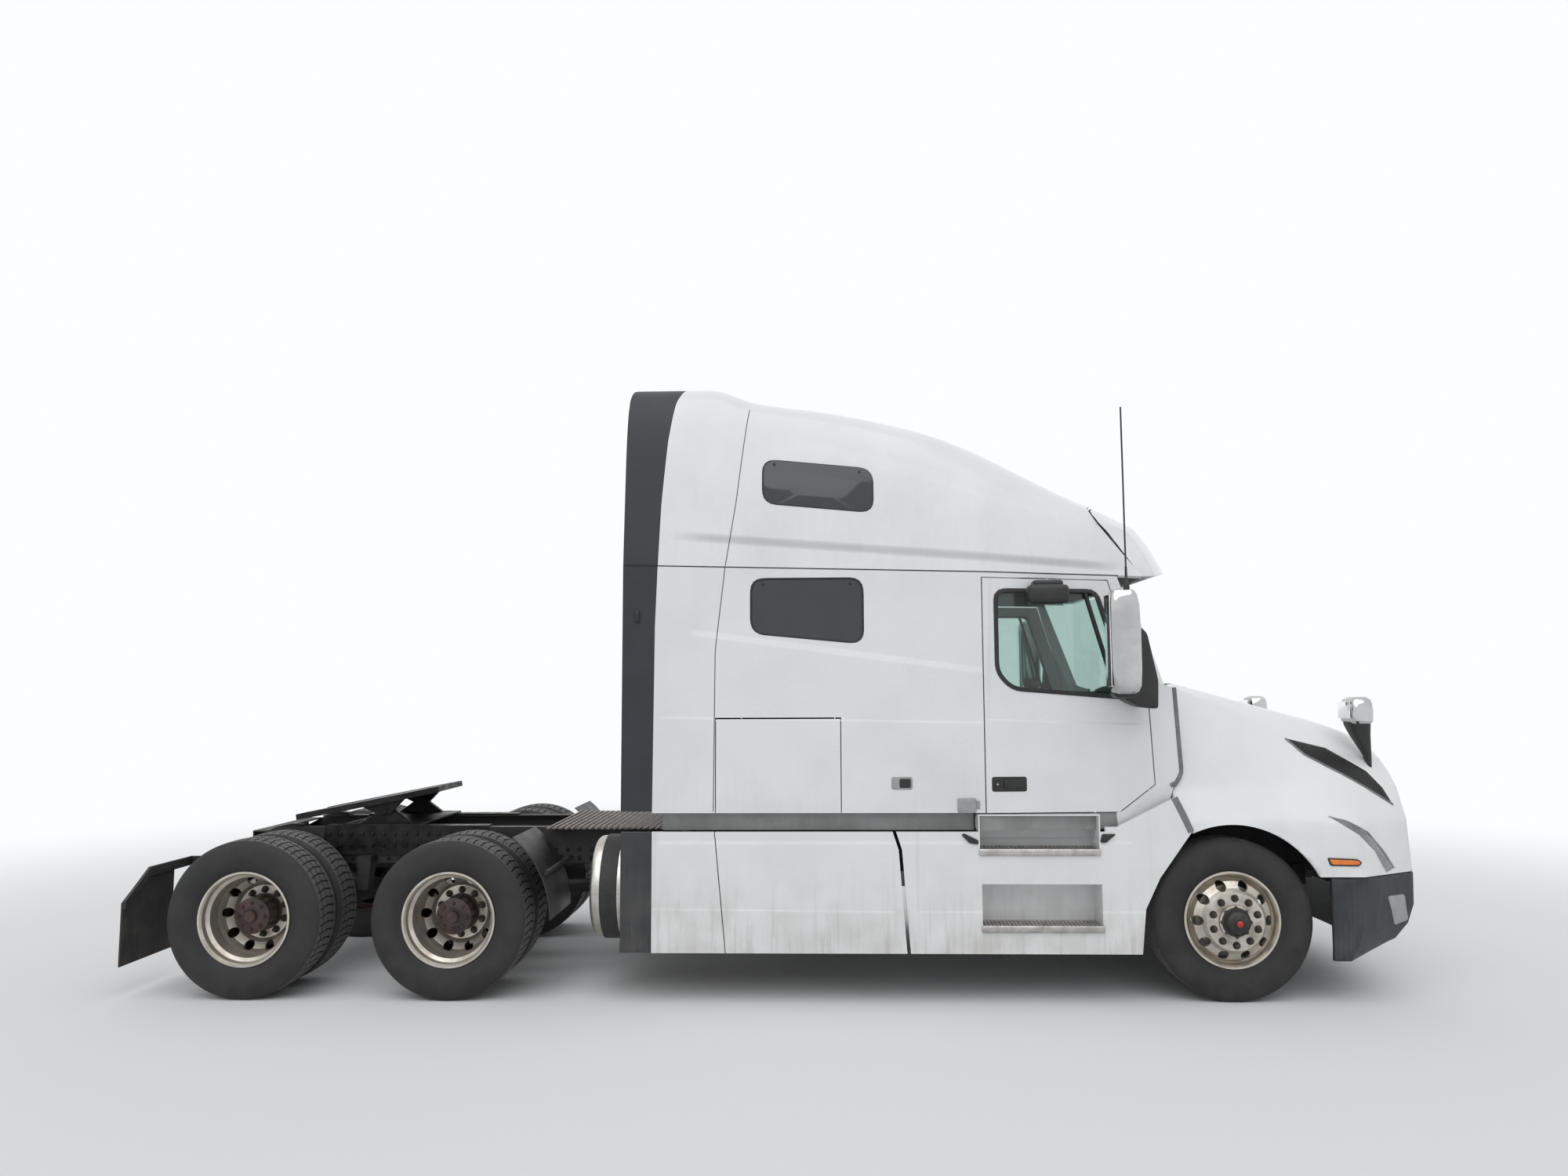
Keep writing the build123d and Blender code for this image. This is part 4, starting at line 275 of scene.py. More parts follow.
def halfRound(width, height, low=-0.002, steps=5):
    # low arch section: cosine across the width, its foot just under the surface
    t = np.linspace(0, pi, steps)
    return [(width / 2 * np.cos(k), low + (height - low) * np.sin(k)) for k in t]


def copies(patch, places):
    points, wrapU, wrapV = patch
    return [(points + np.asarray(place, float), wrapU, wrapV) for place in places]


def mirrored(patches):
    return patches + [(p * np.array([1, -1, 1]), u, v) for p, u, v in patches]


def addPiece(mesh, material, body, sharp):
    mesh.polygons.foreach_set("use_smooth", np.ones(len(mesh.polygons), bool))
    mesh.set_sharp_from_angle(angle=radians(sharp))
    mesh.update()
    piece = bpy.data.objects.new(mesh.name, mesh)
    bpy.context.scene.collection.objects.link(piece)
    mesh.materials.clear()
    mesh.materials.append(material)
    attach(piece, body)
    return piece


def makePiece(name, patches, material, body, sharp=35, merge=2e-6):
    # puts the patches in one mesh at the origin, merges doubles at poles and seams, faces outwards
    points, faces, start = [], [], 0
    for grid, wrapU, wrapV in patches:
        rows, cols = grid.shape[:2]
        number = np.arange(rows * cols).reshape(rows, cols) + start
        if wrapU:
            number = np.concatenate([number, number[:1]])
        if wrapV:
            number = np.concatenate([number, number[:, :1]], 1)
        quads = np.stack([number[:-1, :-1], number[1:, :-1], number[1:, 1:], number[:-1, 1:]], -1)
        faces.append(quads.reshape(-1, 4))
        points.append(grid.reshape(-1, 3))
        start += rows * cols
    points, faces = np.concatenate(points), np.concatenate(faces)
    mesh = bpy.data.meshes.new(name)
    mesh.vertices.add(len(points))
    mesh.vertices.foreach_set("co", points.astype(np.float32).ravel())
    mesh.loops.add(faces.size)
    mesh.loops.foreach_set("vertex_index", faces.astype(np.int32).ravel())
    mesh.polygons.add(len(faces))
    mesh.polygons.foreach_set("loop_start", np.arange(0, faces.size, 4, dtype=np.int32))
    mesh.update(calc_edges=True)
    work = bmesh.new()
    work.from_mesh(mesh)
    bmesh.ops.remove_doubles(work, verts=work.verts, dist=merge)
    bmesh.ops.dissolve_degenerate(work, edges=work.edges, dist=1e-7)
    bmesh.ops.recalc_face_normals(work, faces=work.faces)
    work.to_mesh(mesh)
    work.free()
    return addPiece(mesh, material, body, sharp)


def stack(rows, power=4.0, turns=32):
    # level sections (z, x1, x2, y1, y2), each a superellipse: |cos|^(2/power) and |sin|^(2/power)
    rows = np.asarray(rows, float)
    t = np.linspace(0, 2 * pi, turns, endpoint=False)[None]
    x = np.sign(np.cos(t)) * np.abs(np.cos(t))**(2 / power)
    y = np.sign(np.sin(t)) * np.abs(np.sin(t))**(2 / power)
    z, x1, x2, y1, y2 = [rows[:, k, None] for k in range(5)]
    grid = np.stack([(x1 + x2) / 2 + (x2 - x1) / 2 * x, (y1 + y2) / 2 + (y2 - y1) / 2 * y, z + 0 * t], -1)
    grid[..., 0] += truck["steerX"]
    first = np.repeat(grid[:1].mean(1, keepdims=True), turns, 1)
    last = np.repeat(grid[-1:].mean(1, keepdims=True), turns, 1)
    return (np.concatenate([first, grid, last]), False, True)


def easedCopy(nodeName, name, pitch, rounds, material, body, sharp=30):
    # a CAD shape cut into even cells; its gentle edges are then rounded, p = (p + mean of neighbours) / 2
    work = bmesh.new()
    work.from_mesh(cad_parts[nodeName].data)
    bmesh.ops.remove_doubles(work, verts=work.verts, dist=2e-5)
    bmesh.ops.dissolve_limit(work, angle_limit=radians(0.4), verts=work.verts, edges=work.edges)
    low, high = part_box(nodeName)
    for axis in range(3):
        across = np.eye(3)[axis]
        for place in np.arange(low[axis] + pitch / 2, high[axis], pitch):
            bmesh.ops.bisect_plane(
                work, geom=work.verts[:] + work.edges[:] + work.faces[:], plane_co=Vector(across * place),
                plane_no=Vector(across), dist=2e-5,
            )
    bmesh.ops.triangulate(work, faces=work.faces)
    mesh = bpy.data.meshes.new(name)
    work.to_mesh(mesh)
    work.free()
    points = np.empty(len(mesh.vertices) * 3)
    mesh.vertices.foreach_get("co", points)
    points = points.reshape(-1, 3)
    edges = np.empty(len(mesh.edges) * 2, int)
    mesh.edges.foreach_get("vertices", edges)
    edges = edges.reshape(-1, 2)
    normals = np.empty(len(mesh.polygons) * 3)
    mesh.polygons.foreach_get("normal", normals)
    loopEdge = np.empty(len(mesh.loops), int)
    mesh.loops.foreach_get("edge_index", loopEdge)
    total = np.zeros((len(edges), 3))
    np.add.at(total, loopEdge, np.repeat(normals.reshape(-1, 3), 3, 0))
    cosine = (np.sum(total**2, 1) - 2) / 2
    sharpEdge = (np.bincount(loopEdge, minlength=len(edges)) != 2) | (cosine < cos(radians(sharp)))
    held = np.zeros(len(points), bool)
    held[edges[sharpEdge]] = True
    degree = np.bincount(edges.ravel(), minlength=len(points))[:, None]
    for _ in range(rounds):
        around = np.zeros_like(points)
        np.add.at(around, edges[:, 0], points[edges[:, 1]])
        np.add.at(around, edges[:, 1], points[edges[:, 0]])
        points = np.where(held[:, None], points, (points + around / np.maximum(degree, 1)) / 2)
    mesh.vertices.foreach_set("co", points.astype(np.float32).ravel())
    piece = addPiece(mesh, material, body, sharp)
    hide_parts(nodeName)
    return piece


# shared effects, as shader node groups
def newGroup(name, inputs, outputs):
    group = bpy.data.node_groups.new(name, "ShaderNodeTree")
    for label, value in inputs.items():
        kind = "NodeSocketVector" if isinstance(value, tuple) else "NodeSocketFloat"
        socket = group.interface.new_socket(name=label, in_out="INPUT", socket_type=kind)
        socket.default_value = value
    for label in outputs:
        group.interface.new_socket(name=label, in_out="OUTPUT", socket_type="NodeSocketFloat")
    return group, group.nodes.new("NodeGroupInput"), group.nodes.new("NodeGroupOutput")


def addNode(tree, kind, settings=None, **values):
    # makes a node, sets its properties, then its sockets: a value is set and a socket is linked
    node = tree.nodes.new(kind)
    for key, value in (settings or {}).items():
        setattr(node, key, value)
    for key, value in values.items():
        numbered = key[0] == "i" and key[1:].isdigit()
        socket = node.inputs[int(key[1:]) if numbered else key.replace("_", " ")]
        if isinstance(value, bpy.types.NodeSocket):
            tree.links.new(value, socket)
        else:
            socket.default_value = value
    return node


def maths(tree, operation, first, second=0.0, third=0.0, clamp=False):
    node = addNode(
        tree, "ShaderNodeMath", {"operation": operation, "use_clamp": clamp}, i0=first, i1=second, i2=third,
    )
    return node.outputs[0]


def ranged(tree, value, low, high, toLow=0.0, toHigh=1.0):
    node = addNode(
        tree, "ShaderNodeMapRange", {"interpolation_type": "SMOOTHSTEP"},
        i0=value, i1=low, i2=high, i3=toLow, i4=toHigh,
    )
    return node.outputs[0]


def mixColour(tree, share, first, second):
    node = addNode(tree, "ShaderNodeMix", {"data_type": "RGBA"}, i0=share, i6=first, i7=second)
    return node.outputs[2]


def times(tree, first, second, clamp=False):
    return maths(tree, "MULTIPLY", first, second, clamp=clamp)


def plus(tree, first, second, clamp=False):
    return maths(tree, "ADD", first, second, clamp=clamp)


def minus(tree, first, second):
    return maths(tree, "SUBTRACT", first, second)


def hypot(tree, first, second):
    return maths(tree, "SQRT", plus(tree, times(tree, first, first), times(tree, second, second)))


def placeIn(tree, space="Object"):
    return tree.nodes.new("ShaderNodeTexCoord").outputs[space]


def split(tree, space="Object"):
    # X, Y and Z of the place on the object, or of its normal
    return addNode(tree, "ShaderNodeSeparateXYZ", i0=placeIn(tree, space)).outputs


def noise(tree, where, scale, detail, **more):
    return addNode(tree, "ShaderNodeTexNoise", Vector=where, Scale=scale, Detail=detail, **more).outputs[0]


def scaled(tree, where, by):
    return addNode(tree, "ShaderNodeVectorMath", {"operation": "MULTIPLY"}, i0=where, i1=by).outputs[0]


def cloudy(tree, speckle, first, second, low=0.35, high=0.7):
    return mixColour(tree, ranged(tree, speckle["Clouds"], low, high), first, second)


def connect(tree, shader, colour, rough, height=None, distance=1.0):
    # colour, roughness and the bump of a height go to the shader
    tree.links.new(colour, shader.inputs["Base Color"])
    tree.links.new(rough, shader.inputs["Roughness"])
    if height is not None:
        bump = addNode(tree, "ShaderNodeBump", Height=height, Distance=distance, Strength=1.0)
        tree.links.new(bump.outputs[0], shader.inputs["Normal"])


def makeSpeckle():
    # cloudy patches and fine grain: two noises on object coordinates
    inputs = {"Scale": 4.0, "Fine": 60.0, "Stretch": (1.0, 1.0, 1.0)}
    group, given, out = newGroup("speckle", inputs, ["Clouds", "Grain"])
    where = placeIn(group)
    stretched = scaled(group, where, given.outputs["Stretch"])
    clouds = noise(group, stretched, given.outputs["Scale"], 5.0, Roughness=0.6)
    group.links.new(clouds, out.inputs["Clouds"])
    group.links.new(noise(group, where, given.outputs["Fine"], 3.0), out.inputs["Grain"])
    return group


def makeLowDirt():
    # dirt that thickens towards the ground, broken up by upright streaks
    inputs = {"Top": 1.1, "Bottom": 0.3, "Streak": 0.5, "Scale": 6.0}
    group, given, out = newGroup("lowDirt", inputs, ["Mask"])
    where = placeIn(group)
    z = addNode(group, "ShaderNodeSeparateXYZ", i0=where).outputs["Z"]
    fall = ranged(group, z, given.outputs["Bottom"], given.outputs["Top"], 1.0, 0.0)
    streaks = noise(group, scaled(group, where, (1.0, 1.0, 0.07)), 34.0, 4.0, Roughness=0.65)
    blotch = noise(group, where, given.outputs["Scale"], 6.0)
    streakShare = times(group, ranged(group, streaks, 0.45, 0.75), given.outputs["Streak"])
    broken = plus(group, ranged(group, blotch, 0.35, 0.75), streakShare)
    group.links.new(times(group, fall, broken, clamp=True), out.inputs["Mask"])
    return group


def makePressLine():
    # a step or a groove along a straight line x to z: signed distance over a width
    inputs = {"X1": 0.0, "Z1": 0.0, "X2": 1.0, "Z2": 0.0, "Width": 0.02, "Soft": 0.25}
    group, given, out = newGroup("pressLine", inputs, ["Step", "Groove"])
    where, line = split(group), given.outputs
    runX = minus(group, line["X2"], line["X1"])
    runZ = minus(group, line["Z2"], line["Z1"])
    length = hypot(group, runX, runZ)
    fromX = minus(group, where["X"], line["X1"])
    fromZ = minus(group, where["Z"], line["Z1"])
    crossed = minus(group, times(group, fromZ, runX), times(group, fromX, runZ))
    off = maths(group, "DIVIDE", crossed, length)
    dotted = plus(group, times(group, fromX, runX), times(group, fromZ, runZ))
    along = maths(group, "DIVIDE", dotted, times(group, length, length))
    starts = ranged(group, along, 0.0, line["Soft"])
    ends = ranged(group, along, minus(group, 1.0, line["Soft"]), 1.0, 1.0, 0.0)
    inside = times(group, starts, ends)
    step = ranged(group, off, times(group, line["Width"], -1.0), line["Width"])
    groove = ranged(group, maths(group, "ABSOLUTE", off), 0.0, line["Width"], 1.0, 0.0)
    group.links.new(times(group, step, inside), out.inputs["Step"])
    group.links.new(times(group, groove, inside), out.inputs["Groove"])
    return group


def makeAxleReach():
    # distance from the nearest of the three axle lines, for rings on wheels and tyres
    group, given, out = newGroup("axleReach", {}, ["Radius", "Outward"])
    where = split(group)
    z = minus(group, where["Z"], truck["tyreRadius"])
    nearest = None
    for a in (0.0,) + truck["driveAxles"]:
        reach = hypot(group, minus(group, where["X"], aft(a)), z)
        nearest = reach if nearest is None else maths(group, "MINIMUM", nearest, reach)
    group.links.new(nearest, out.inputs["Radius"])
    group.links.new(maths(group, "ABSOLUTE", where["Y"]), out.inputs["Outward"])
    return group


groups = {
    "speckle": makeSpeckle(), "lowDirt": makeLowDirt(), "pressLine": makePressLine(),
    "axleReach": makeAxleReach(),
}


def useGroup(tree, name, **values):
    node = tree.nodes.new("ShaderNodeGroup")
    node.node_tree = groups[name]
    for key, value in values.items():
        node.inputs[key].default_value = value
    return node.outputs


def startMaterial(name, **constants):
    material = bpy.data.materials.new(name)
    material.use_nodes = True
    tree = material.node_tree
    shader = tree.nodes["Principled BSDF"]
    for key, value in constants.items():
        shader.inputs[key.replace("_", " ")].default_value = value
    return material, tree, shader


def grey(value, warm=0.0):
    return (value * (1 + warm), value, value * (1 - warm), 1.0)


# one general worn finish, then the special ones
def wornFinish(name, colour, second, rough, roughSpread=0.1, scale=5.0, fine=90.0, bump=0.0004, dirt=None,
               dirtColour=(0.16, 0.145, 0.12, 1), dirtShare=0.5, stretch=(1.0, 1.0, 1.0), **constants):
    material, tree, shader = startMaterial(name, **constants)
    speckle = useGroup(tree, "speckle", Scale=scale, Fine=fine, Stretch=stretch)
    shade = cloudy(tree, speckle, colour, second, 0.35, 0.68)
    roughness = ranged(tree, speckle["Clouds"], 0.3, 0.7, rough - roughSpread / 2, rough + roughSpread / 2)
    if dirt:
        share = times(tree, useGroup(tree, "lowDirt", **dirt)["Mask"], dirtShare, clamp=True)
        shade = mixColour(tree, share, shade, dirtColour)
        roughness = plus(tree, roughness, times(tree, share, 0.35), clamp=True)
    connect(tree, shader, shade, roughness, speckle["Grain"] if bump else None, bump)
    return material


def lowDirt(top, bottom, streak, scale):
    return {"Top": top, "Bottom": bottom, "Streak": streak, "Scale": scale}


def makePaint(name, creases=(), seams=(), dirt=None, paintedUnderShade=False, colour=(0.80, 0.815, 0.82, 1)):
    # cool white two-pack paint: faint clouds, grime from below, pressed creases, dark joint lines, and on
    # request painted shade on faces turned downwards
    material, tree, shader = startMaterial(name, Coat_Weight=0.35, Coat_Roughness=0.08, IOR=1.5)
    speckle = useGroup(tree, "speckle", Scale=1.6, Fine=140.0)
    second = tuple(c * 0.94 for c in colour[:3]) + (1,)
    shade = cloudy(tree, speckle, colour, second)
    roughness = ranged(tree, speckle["Clouds"], 0.3, 0.7, 0.22, 0.34)
    for settings, share, tone in dirt or ():
        mask = times(tree, useGroup(tree, "lowDirt", **settings)["Mask"], share, clamp=True)
        shade = mixColour(tree, mask, shade, tone)
        roughness = plus(tree, roughness, times(tree, mask, 0.4), clamp=True)
    height = times(tree, speckle["Grain"], 0.00006)
    for x1, z1, x2, z2, width, depth, soft in creases:
        step = useGroup(tree, "pressLine", X1=x1, Z1=z1, X2=x2, Z2=z2, Width=width, Soft=soft)["Step"]
        height = plus(tree, height, times(tree, step, depth))
    for x1, z1, x2, z2, width in seams:
        groove = useGroup(tree, "pressLine", X1=x1, Z1=z1, X2=x2, Z2=z2, Width=width, Soft=0.0001)["Groove"]
        sharp = ranged(tree, groove, 0.2, 0.6)
        shade = mixColour(tree, times(tree, sharp, 0.93), shade, (0.035, 0.037, 0.04, 1))
        height = minus(tree, height, times(tree, sharp, 0.002))
    # painted shade: faces turned downwards are darkened to near black, standing in for the shade under the
    # part
    if paintedUnderShade:
        facing = split(tree, "Normal")["Z"]
        shade = mixColour(tree, ranged(tree, facing, -0.55, -0.25, 1.0, 0.0), shade, grey(0.02))
    connect(tree, shader, shade, roughness, height)
    return material


roadDust = (0.30, 0.285, 0.25, 1)
sleeperSeam = [
    (aft(a), z) for a, z in ((3.03, 3.83), (3.11, 3.165), (3.176, 2.745), (3.24, 2.2), (3.25, 1.18))
]
sleeperJoints = [(*sleeperSeam[k], *sleeperSeam[k + 1], 0.005) for k in range(4)]

paint = {
    "cab": makePaint(
        "cabPaint",
        creases=[
            (aft(3.454), 2.325, aft(1.45), 2.052, 0.024, -0.014, 0.08),
            (aft(3.62), 1.774, aft(0.50), 1.715, 0.010, -0.005, 0.03),
        ],
        seams=sleeperJoints[1:],
        dirt=[(lowDirt(1.75, 1.15, 0.5, 3.0), 0.12, roadDust)],
    ),
    "door": makePaint(
        "doorPaint", creases=[(aft(1.52), 1.752, aft(0.45), 1.715, 0.010, -0.005, 0.03)],
        dirt=[(lowDirt(1.6, 1.15, 0.4, 3.0), 0.10, roadDust)],
    ),
    "roof": makePaint(
        "roofPaint",
        creases=[
            (aft(3.60), 2.955, aft(0.50), 2.720, 0.036, 0.032, 0.12),
            (aft(2.75), 3.600, aft(0.90), 3.080, 0.045, -0.016, 0.15),
        ],
        seams=sleeperJoints[:2],
        dirt=[(lowDirt(4.2, 2.6, 1.0, 1.5), 0.07, roadDust)],
    ),
    # the visor's downward faces carry painted shade
    "visor": makePaint("visorPaint", paintedUnderShade=True),
    "hood": makePaint(
        "hoodPaint", dirt=[(lowDirt(1.3, 0.72, 0.3, 4.0), 0.16, roadDust)],
    ),
    "skirt": makePaint(
        "skirtPaint",
        creases=[
            (aft(3.64), 0.575, aft(2.10), 0.560, 0.008, -0.006, 0.02),
            (aft(3.64), 0.985, aft(0.60), 0.985, 0.014, -0.008, 0.02),
            (aft(1.98), 0.560, aft(0.50), 0.560, 0.008, -0.006, 0.02),
        ],
        dirt=[
            (lowDirt(1.02, 0.20, 0.7, 4.0), 0.55, (0.50, 0.485, 0.43, 1)),
            (lowDirt(0.75, 0.16, 1.0, 6.0), 0.20, (0.34, 0.32, 0.27, 1)),
        ],
    ),
}

metalDirt = lowDirt(1.1, 0.3, 0.3, 9.0)
finish = {
    "panel": wornFinish(
        "charcoalPanel", (0.018, 0.022, 0.028, 1), (0.026, 0.031, 0.038, 1), 0.52, 0.12, 3.0, 420.0, 0.0006,
        dirt=lowDirt(1.3, 0.3, 0.8, 4.0), dirtShare=0.30,
    ),
    "chassis": wornFinish(
        "chassisBlack", grey(0.012), grey(0.034, 0.08), 0.55, 0.25, 7.0, 160.0, 0.0012, dirt=metalDirt,
        dirtColour=(0.048, 0.043, 0.037, 1), dirtShare=0.45,
    ),
    "greased": wornFinish(
        "greasedSteel", grey(0.007), grey(0.028, 0.08), 0.42, 0.3, 11.0, 240.0, 0.0016, Metallic=0.5,
    ),
    "engine": wornFinish("castIron", grey(0.05), grey(0.09, 0.05), 0.6, 0.2, 8.0, 120.0, 0.001, Metallic=0.4),
    "tank": wornFinish(
        "tankAluminium", (0.62, 0.60, 0.57, 1), (0.50, 0.47, 0.43, 1), 0.30, 0.14, 3.0, 260.0, 0.0003,
        dirt=lowDirt(0.9, 0.3, 0.6, 7.0), dirtShare=0.5, stretch=(0.2, 1.0, 4.0),
        Metallic=0.9,
    ),
    "interior": wornFinish("dashMoulding", grey(0.035), grey(0.05), 0.62, 0.12, 5.0, 380.0, 0.0008),
    "cloth": wornFinish(
        "seatCloth", grey(0.045), grey(0.075, 0.03), 0.9, 0.1, 16.0, 520.0, 0.0018, Sheen_Weight=0.3,
    ),
    "plastic": wornFinish(
        "blackMoulding", grey(0.014), grey(0.026), 0.42, 0.16, 6.0, 420.0, 0.0006,
        dirt=lowDirt(1.2, 0.3, 0.3, 6.0), dirtShare=0.25,
    ),
    "rubber": wornFinish("sealRubber", grey(0.016), grey(0.03), 0.62, 0.12, 20.0, 300.0, 0.0004),
    "greyRubber": wornFinish("greySeal", grey(0.16), grey(0.22), 0.6, 0.12, 12.0, 260.0, 0.0005),
    "greyCover": wornFinish("greyCover", grey(0.36), grey(0.30), 0.45, 0.1, 12.0, 300.0, 0.0004),
    "chrome": wornFinish(
        "chromedShell", grey(0.56), grey(0.44), 0.09, 0.06, 3.0, 60.0, 0.00012, Metallic=1.0,
    ),
    "stepMetal": wornFinish(
        "stepAluminium", grey(0.55, 0.03), grey(0.40, 0.05), 0.38, 0.2, 14.0, 260.0, 0.0005, Metallic=0.85,
        dirt=lowDirt(1.2, 0.3, 0.3, 12.0), dirtShare=0.4,
    ),
    "flap": wornFinish(
        "flapRubber", grey(0.018), grey(0.032, 0.05), 0.6, 0.2, 6.0, 200.0, 0.001,
        dirt=lowDirt(0.8, 0.1, 1.0, 6.0), dirtShare=0.5,
        dirtColour=(0.12, 0.11, 0.095, 1),
    ),
    "recess": wornFinish(
        "underCabGrey", (0.30, 0.315, 0.31, 1), (0.24, 0.25, 0.24, 1), 0.55, 0.1, 4.0, 200.0, 0.0004,
        dirt=lowDirt(1.3, 1.0, 0.6, 6.0), dirtShare=0.3,
    ),
    "amber": wornFinish(
        "amberLens", (0.75, 0.16, 0.01, 1), (0.85, 0.24, 0.015, 1), 0.18, 0.06, 30.0, 90.0, 0.0002,
        Coat_Weight=0.5,
    ),
    "red": wornFinish(
        "redPlug", (0.55, 0.02, 0.02, 1), (0.40, 0.02, 0.02, 1), 0.35, 0.1, 30.0, 120.0, 0.0003,
    ),
    "darkGap": wornFinish("jointShadow", grey(0.010), grey(0.018), 0.8, 0.1, 10.0, 200.0, 0.0002),
    "hubRust": wornFinish(
        "hubRust", (0.045, 0.030, 0.026, 1), (0.105, 0.066, 0.052, 1), 0.7, 0.2, 18.0, 260.0, 0.0010,
        Metallic=0.3,
    ),
    "nut": wornFinish(
        "wheelNut", grey(0.075, 0.15), grey(0.035, 0.2), 0.5, 0.2, 26.0, 300.0, 0.0006, Metallic=0.6,
    ),
    "mirrorFace": wornFinish("mirrorFace", grey(0.9), grey(0.88), 0.02, 0.01, 2.0, 40.0, 0.0, Metallic=1.0),
}
print("general finishes made:", len(finish))


def makeGlass(name, tint, rough=0.02, clear=1.0):
    material, tree, shader = startMaterial(name, Transmission_Weight=clear, IOR=1.45, Metallic=0.0)
    speckle = useGroup(tree, "speckle", Scale=2.5, Fine=40.0)
    shade = cloudy(tree, speckle, tint, tuple(c * 0.93 for c in tint[:3]) + (1,), 0.4, 0.8)
    connect(tree, shader, shade, ranged(tree, speckle["Clouds"], 0.3, 0.8, rough, rough + 0.03))
    return material


finish["clearGlass"] = makeGlass("cabGlass", (0.62, 0.74, 0.70, 1))
finish["lampGlass"] = wornFinish(
    "lampLens", (0.20, 0.22, 0.225, 1), (0.13, 0.145, 0.15, 1), 0.10, 0.05, 9.0, 60.0, 0.00006,
    Coat_Weight=0.8,
)
finish["darkGlass"] = wornFinish(
    "privacyGlass", (0.010, 0.012, 0.014, 1), (0.016, 0.018, 0.020, 1), 0.08, 0.05, 3.0, 60.0, 0.00006,
    Coat_Weight=0.6,
)


def makeWheelAlloy():
    # brushed, dulled aluminium: black steer hub, rusty drive hub, brake dust round the middle
    material, tree, shader = startMaterial("wheelAlloy")
    speckle = useGroup(tree, "speckle", Scale=9.0, Fine=150.0)
    reach = useGroup(tree, "axleReach")
    isDrive = maths(tree, "LESS_THAN", split(tree)["X"], aft(2.5))
    alloy = cloudy(tree, speckle, (0.66, 0.615, 0.55, 1), (0.52, 0.475, 0.41, 1))
    nearHub = ranged(tree, reach["Radius"], 0.12, 0.20, 1.0, 0.10)
    dust = times(tree, nearHub, ranged(tree, speckle["Clouds"], 0.3, 0.75))
    alloy = mixColour(tree, times(tree, dust, 0.7), alloy, (0.17, 0.13, 0.10, 1))
    steerHub = mixColour(tree, speckle["Clouds"], (0.012, 0.011, 0.011, 1), (0.05, 0.04, 0.03, 1))
    driveHub = cloudy(tree, speckle, (0.030, 0.021, 0.018, 1), (0.085, 0.052, 0.042, 1), 0.35, 0.65)
    hub = mixColour(tree, isDrive, steerHub, driveHub)
    hubReach = plus(tree, 0.088, times(tree, isDrive, 0.030))
    isHub = ranged(tree, minus(tree, reach["Radius"], hubReach), 0.0, 0.003, 1.0, 0.0)
    inside = times(tree, isDrive, maths(tree, "LESS_THAN", reach["Outward"], 0.86))
    isHub = maths(tree, "MAXIMUM", isHub, inside)
    tree.links.new(ranged(tree, isHub, 0.0, 1.0, 0.85, 0.25), shader.inputs["Metallic"])
    rough = ranged(tree, speckle["Clouds"], 0.3, 0.7, 0.34, 0.52)
    connect(tree, shader, mixColour(tree, isHub, alloy, hub), rough, speckle["Grain"], 0.0006)
    return material


def makeTyreRubber():
    # dull black rubber with moulded rings, grey dust on the sidewall and in the tread
    material, tree, shader = startMaterial("tyreRubber")
    speckle = useGroup(tree, "speckle", Scale=7.0, Fine=120.0)
    radius = useGroup(tree, "axleReach")["Radius"]
    rubber = cloudy(tree, speckle, (0.012, 0.012, 0.013, 1), (0.022, 0.022, 0.022, 1))
    wall = times(tree, ranged(tree, radius, 0.30, 0.40), ranged(tree, radius, 0.47, 0.50, 1.0, 0.4))
    dusty = times(tree, times(tree, wall, ranged(tree, speckle["Clouds"], 0.30, 0.80)), 0.30)
    shade = mixColour(tree, dusty, rubber, (0.070, 0.066, 0.062, 1))
    grainy = ranged(tree, speckle["Grain"], 0.30, 0.60, 0.35, 0.75)
    worn = times(tree, ranged(tree, radius, 0.4935, 0.4965), grainy)
    shade = mixColour(tree, worn, shade, (0.150, 0.145, 0.140, 1))
    wave = maths(tree, "SINE", times(tree, radius, 640.0))
    ringZone = times(tree, ranged(tree, radius, 0.315, 0.32), ranged(tree, radius, 0.345, 0.35, 1.0, 0.0))
    rings = times(tree, times(tree, wave, ringZone), 0.0006)
    height = plus(tree, rings, times(tree, speckle["Grain"], 0.0006))
    connect(tree, shader, shade, ranged(tree, speckle["Clouds"], 0.3, 0.7, 0.55, 0.78), height)
    return material


def makeMesh(name, holes, width):
    # diamond mesh: two crossed waves on object coordinates, with painted shade between the bars standing in
    # for the dark openings
    material, tree, shader = startMaterial(name)
    where = split(tree)
    across = plus(tree, where["X"], where["Y"])
    first = maths(tree, "SINE", times(tree, plus(tree, across, where["Z"]), holes))
    second = maths(tree, "SINE", times(tree, minus(tree, across, where["Z"]), holes))
    waves = [ranged(tree, wave, width, width + 0.15) for wave in (first, second)]
    bars = maths(tree, "MAXIMUM", *waves)
    speckle = useGroup(tree, "speckle", Scale=8.0, Fine=200.0)
    bar = mixColour(tree, speckle["Clouds"], grey(0.006), grey(0.014))
    rough = ranged(tree, bars, 0.0, 1.0, 0.9, 0.4)
    # painted shade: grey(0.001) between the bars stands for the shaded space behind the mesh
    connect(tree, shader, mixColour(tree, bars, grey(0.001), bar), rough, times(tree, bars, 0.006))
    return material


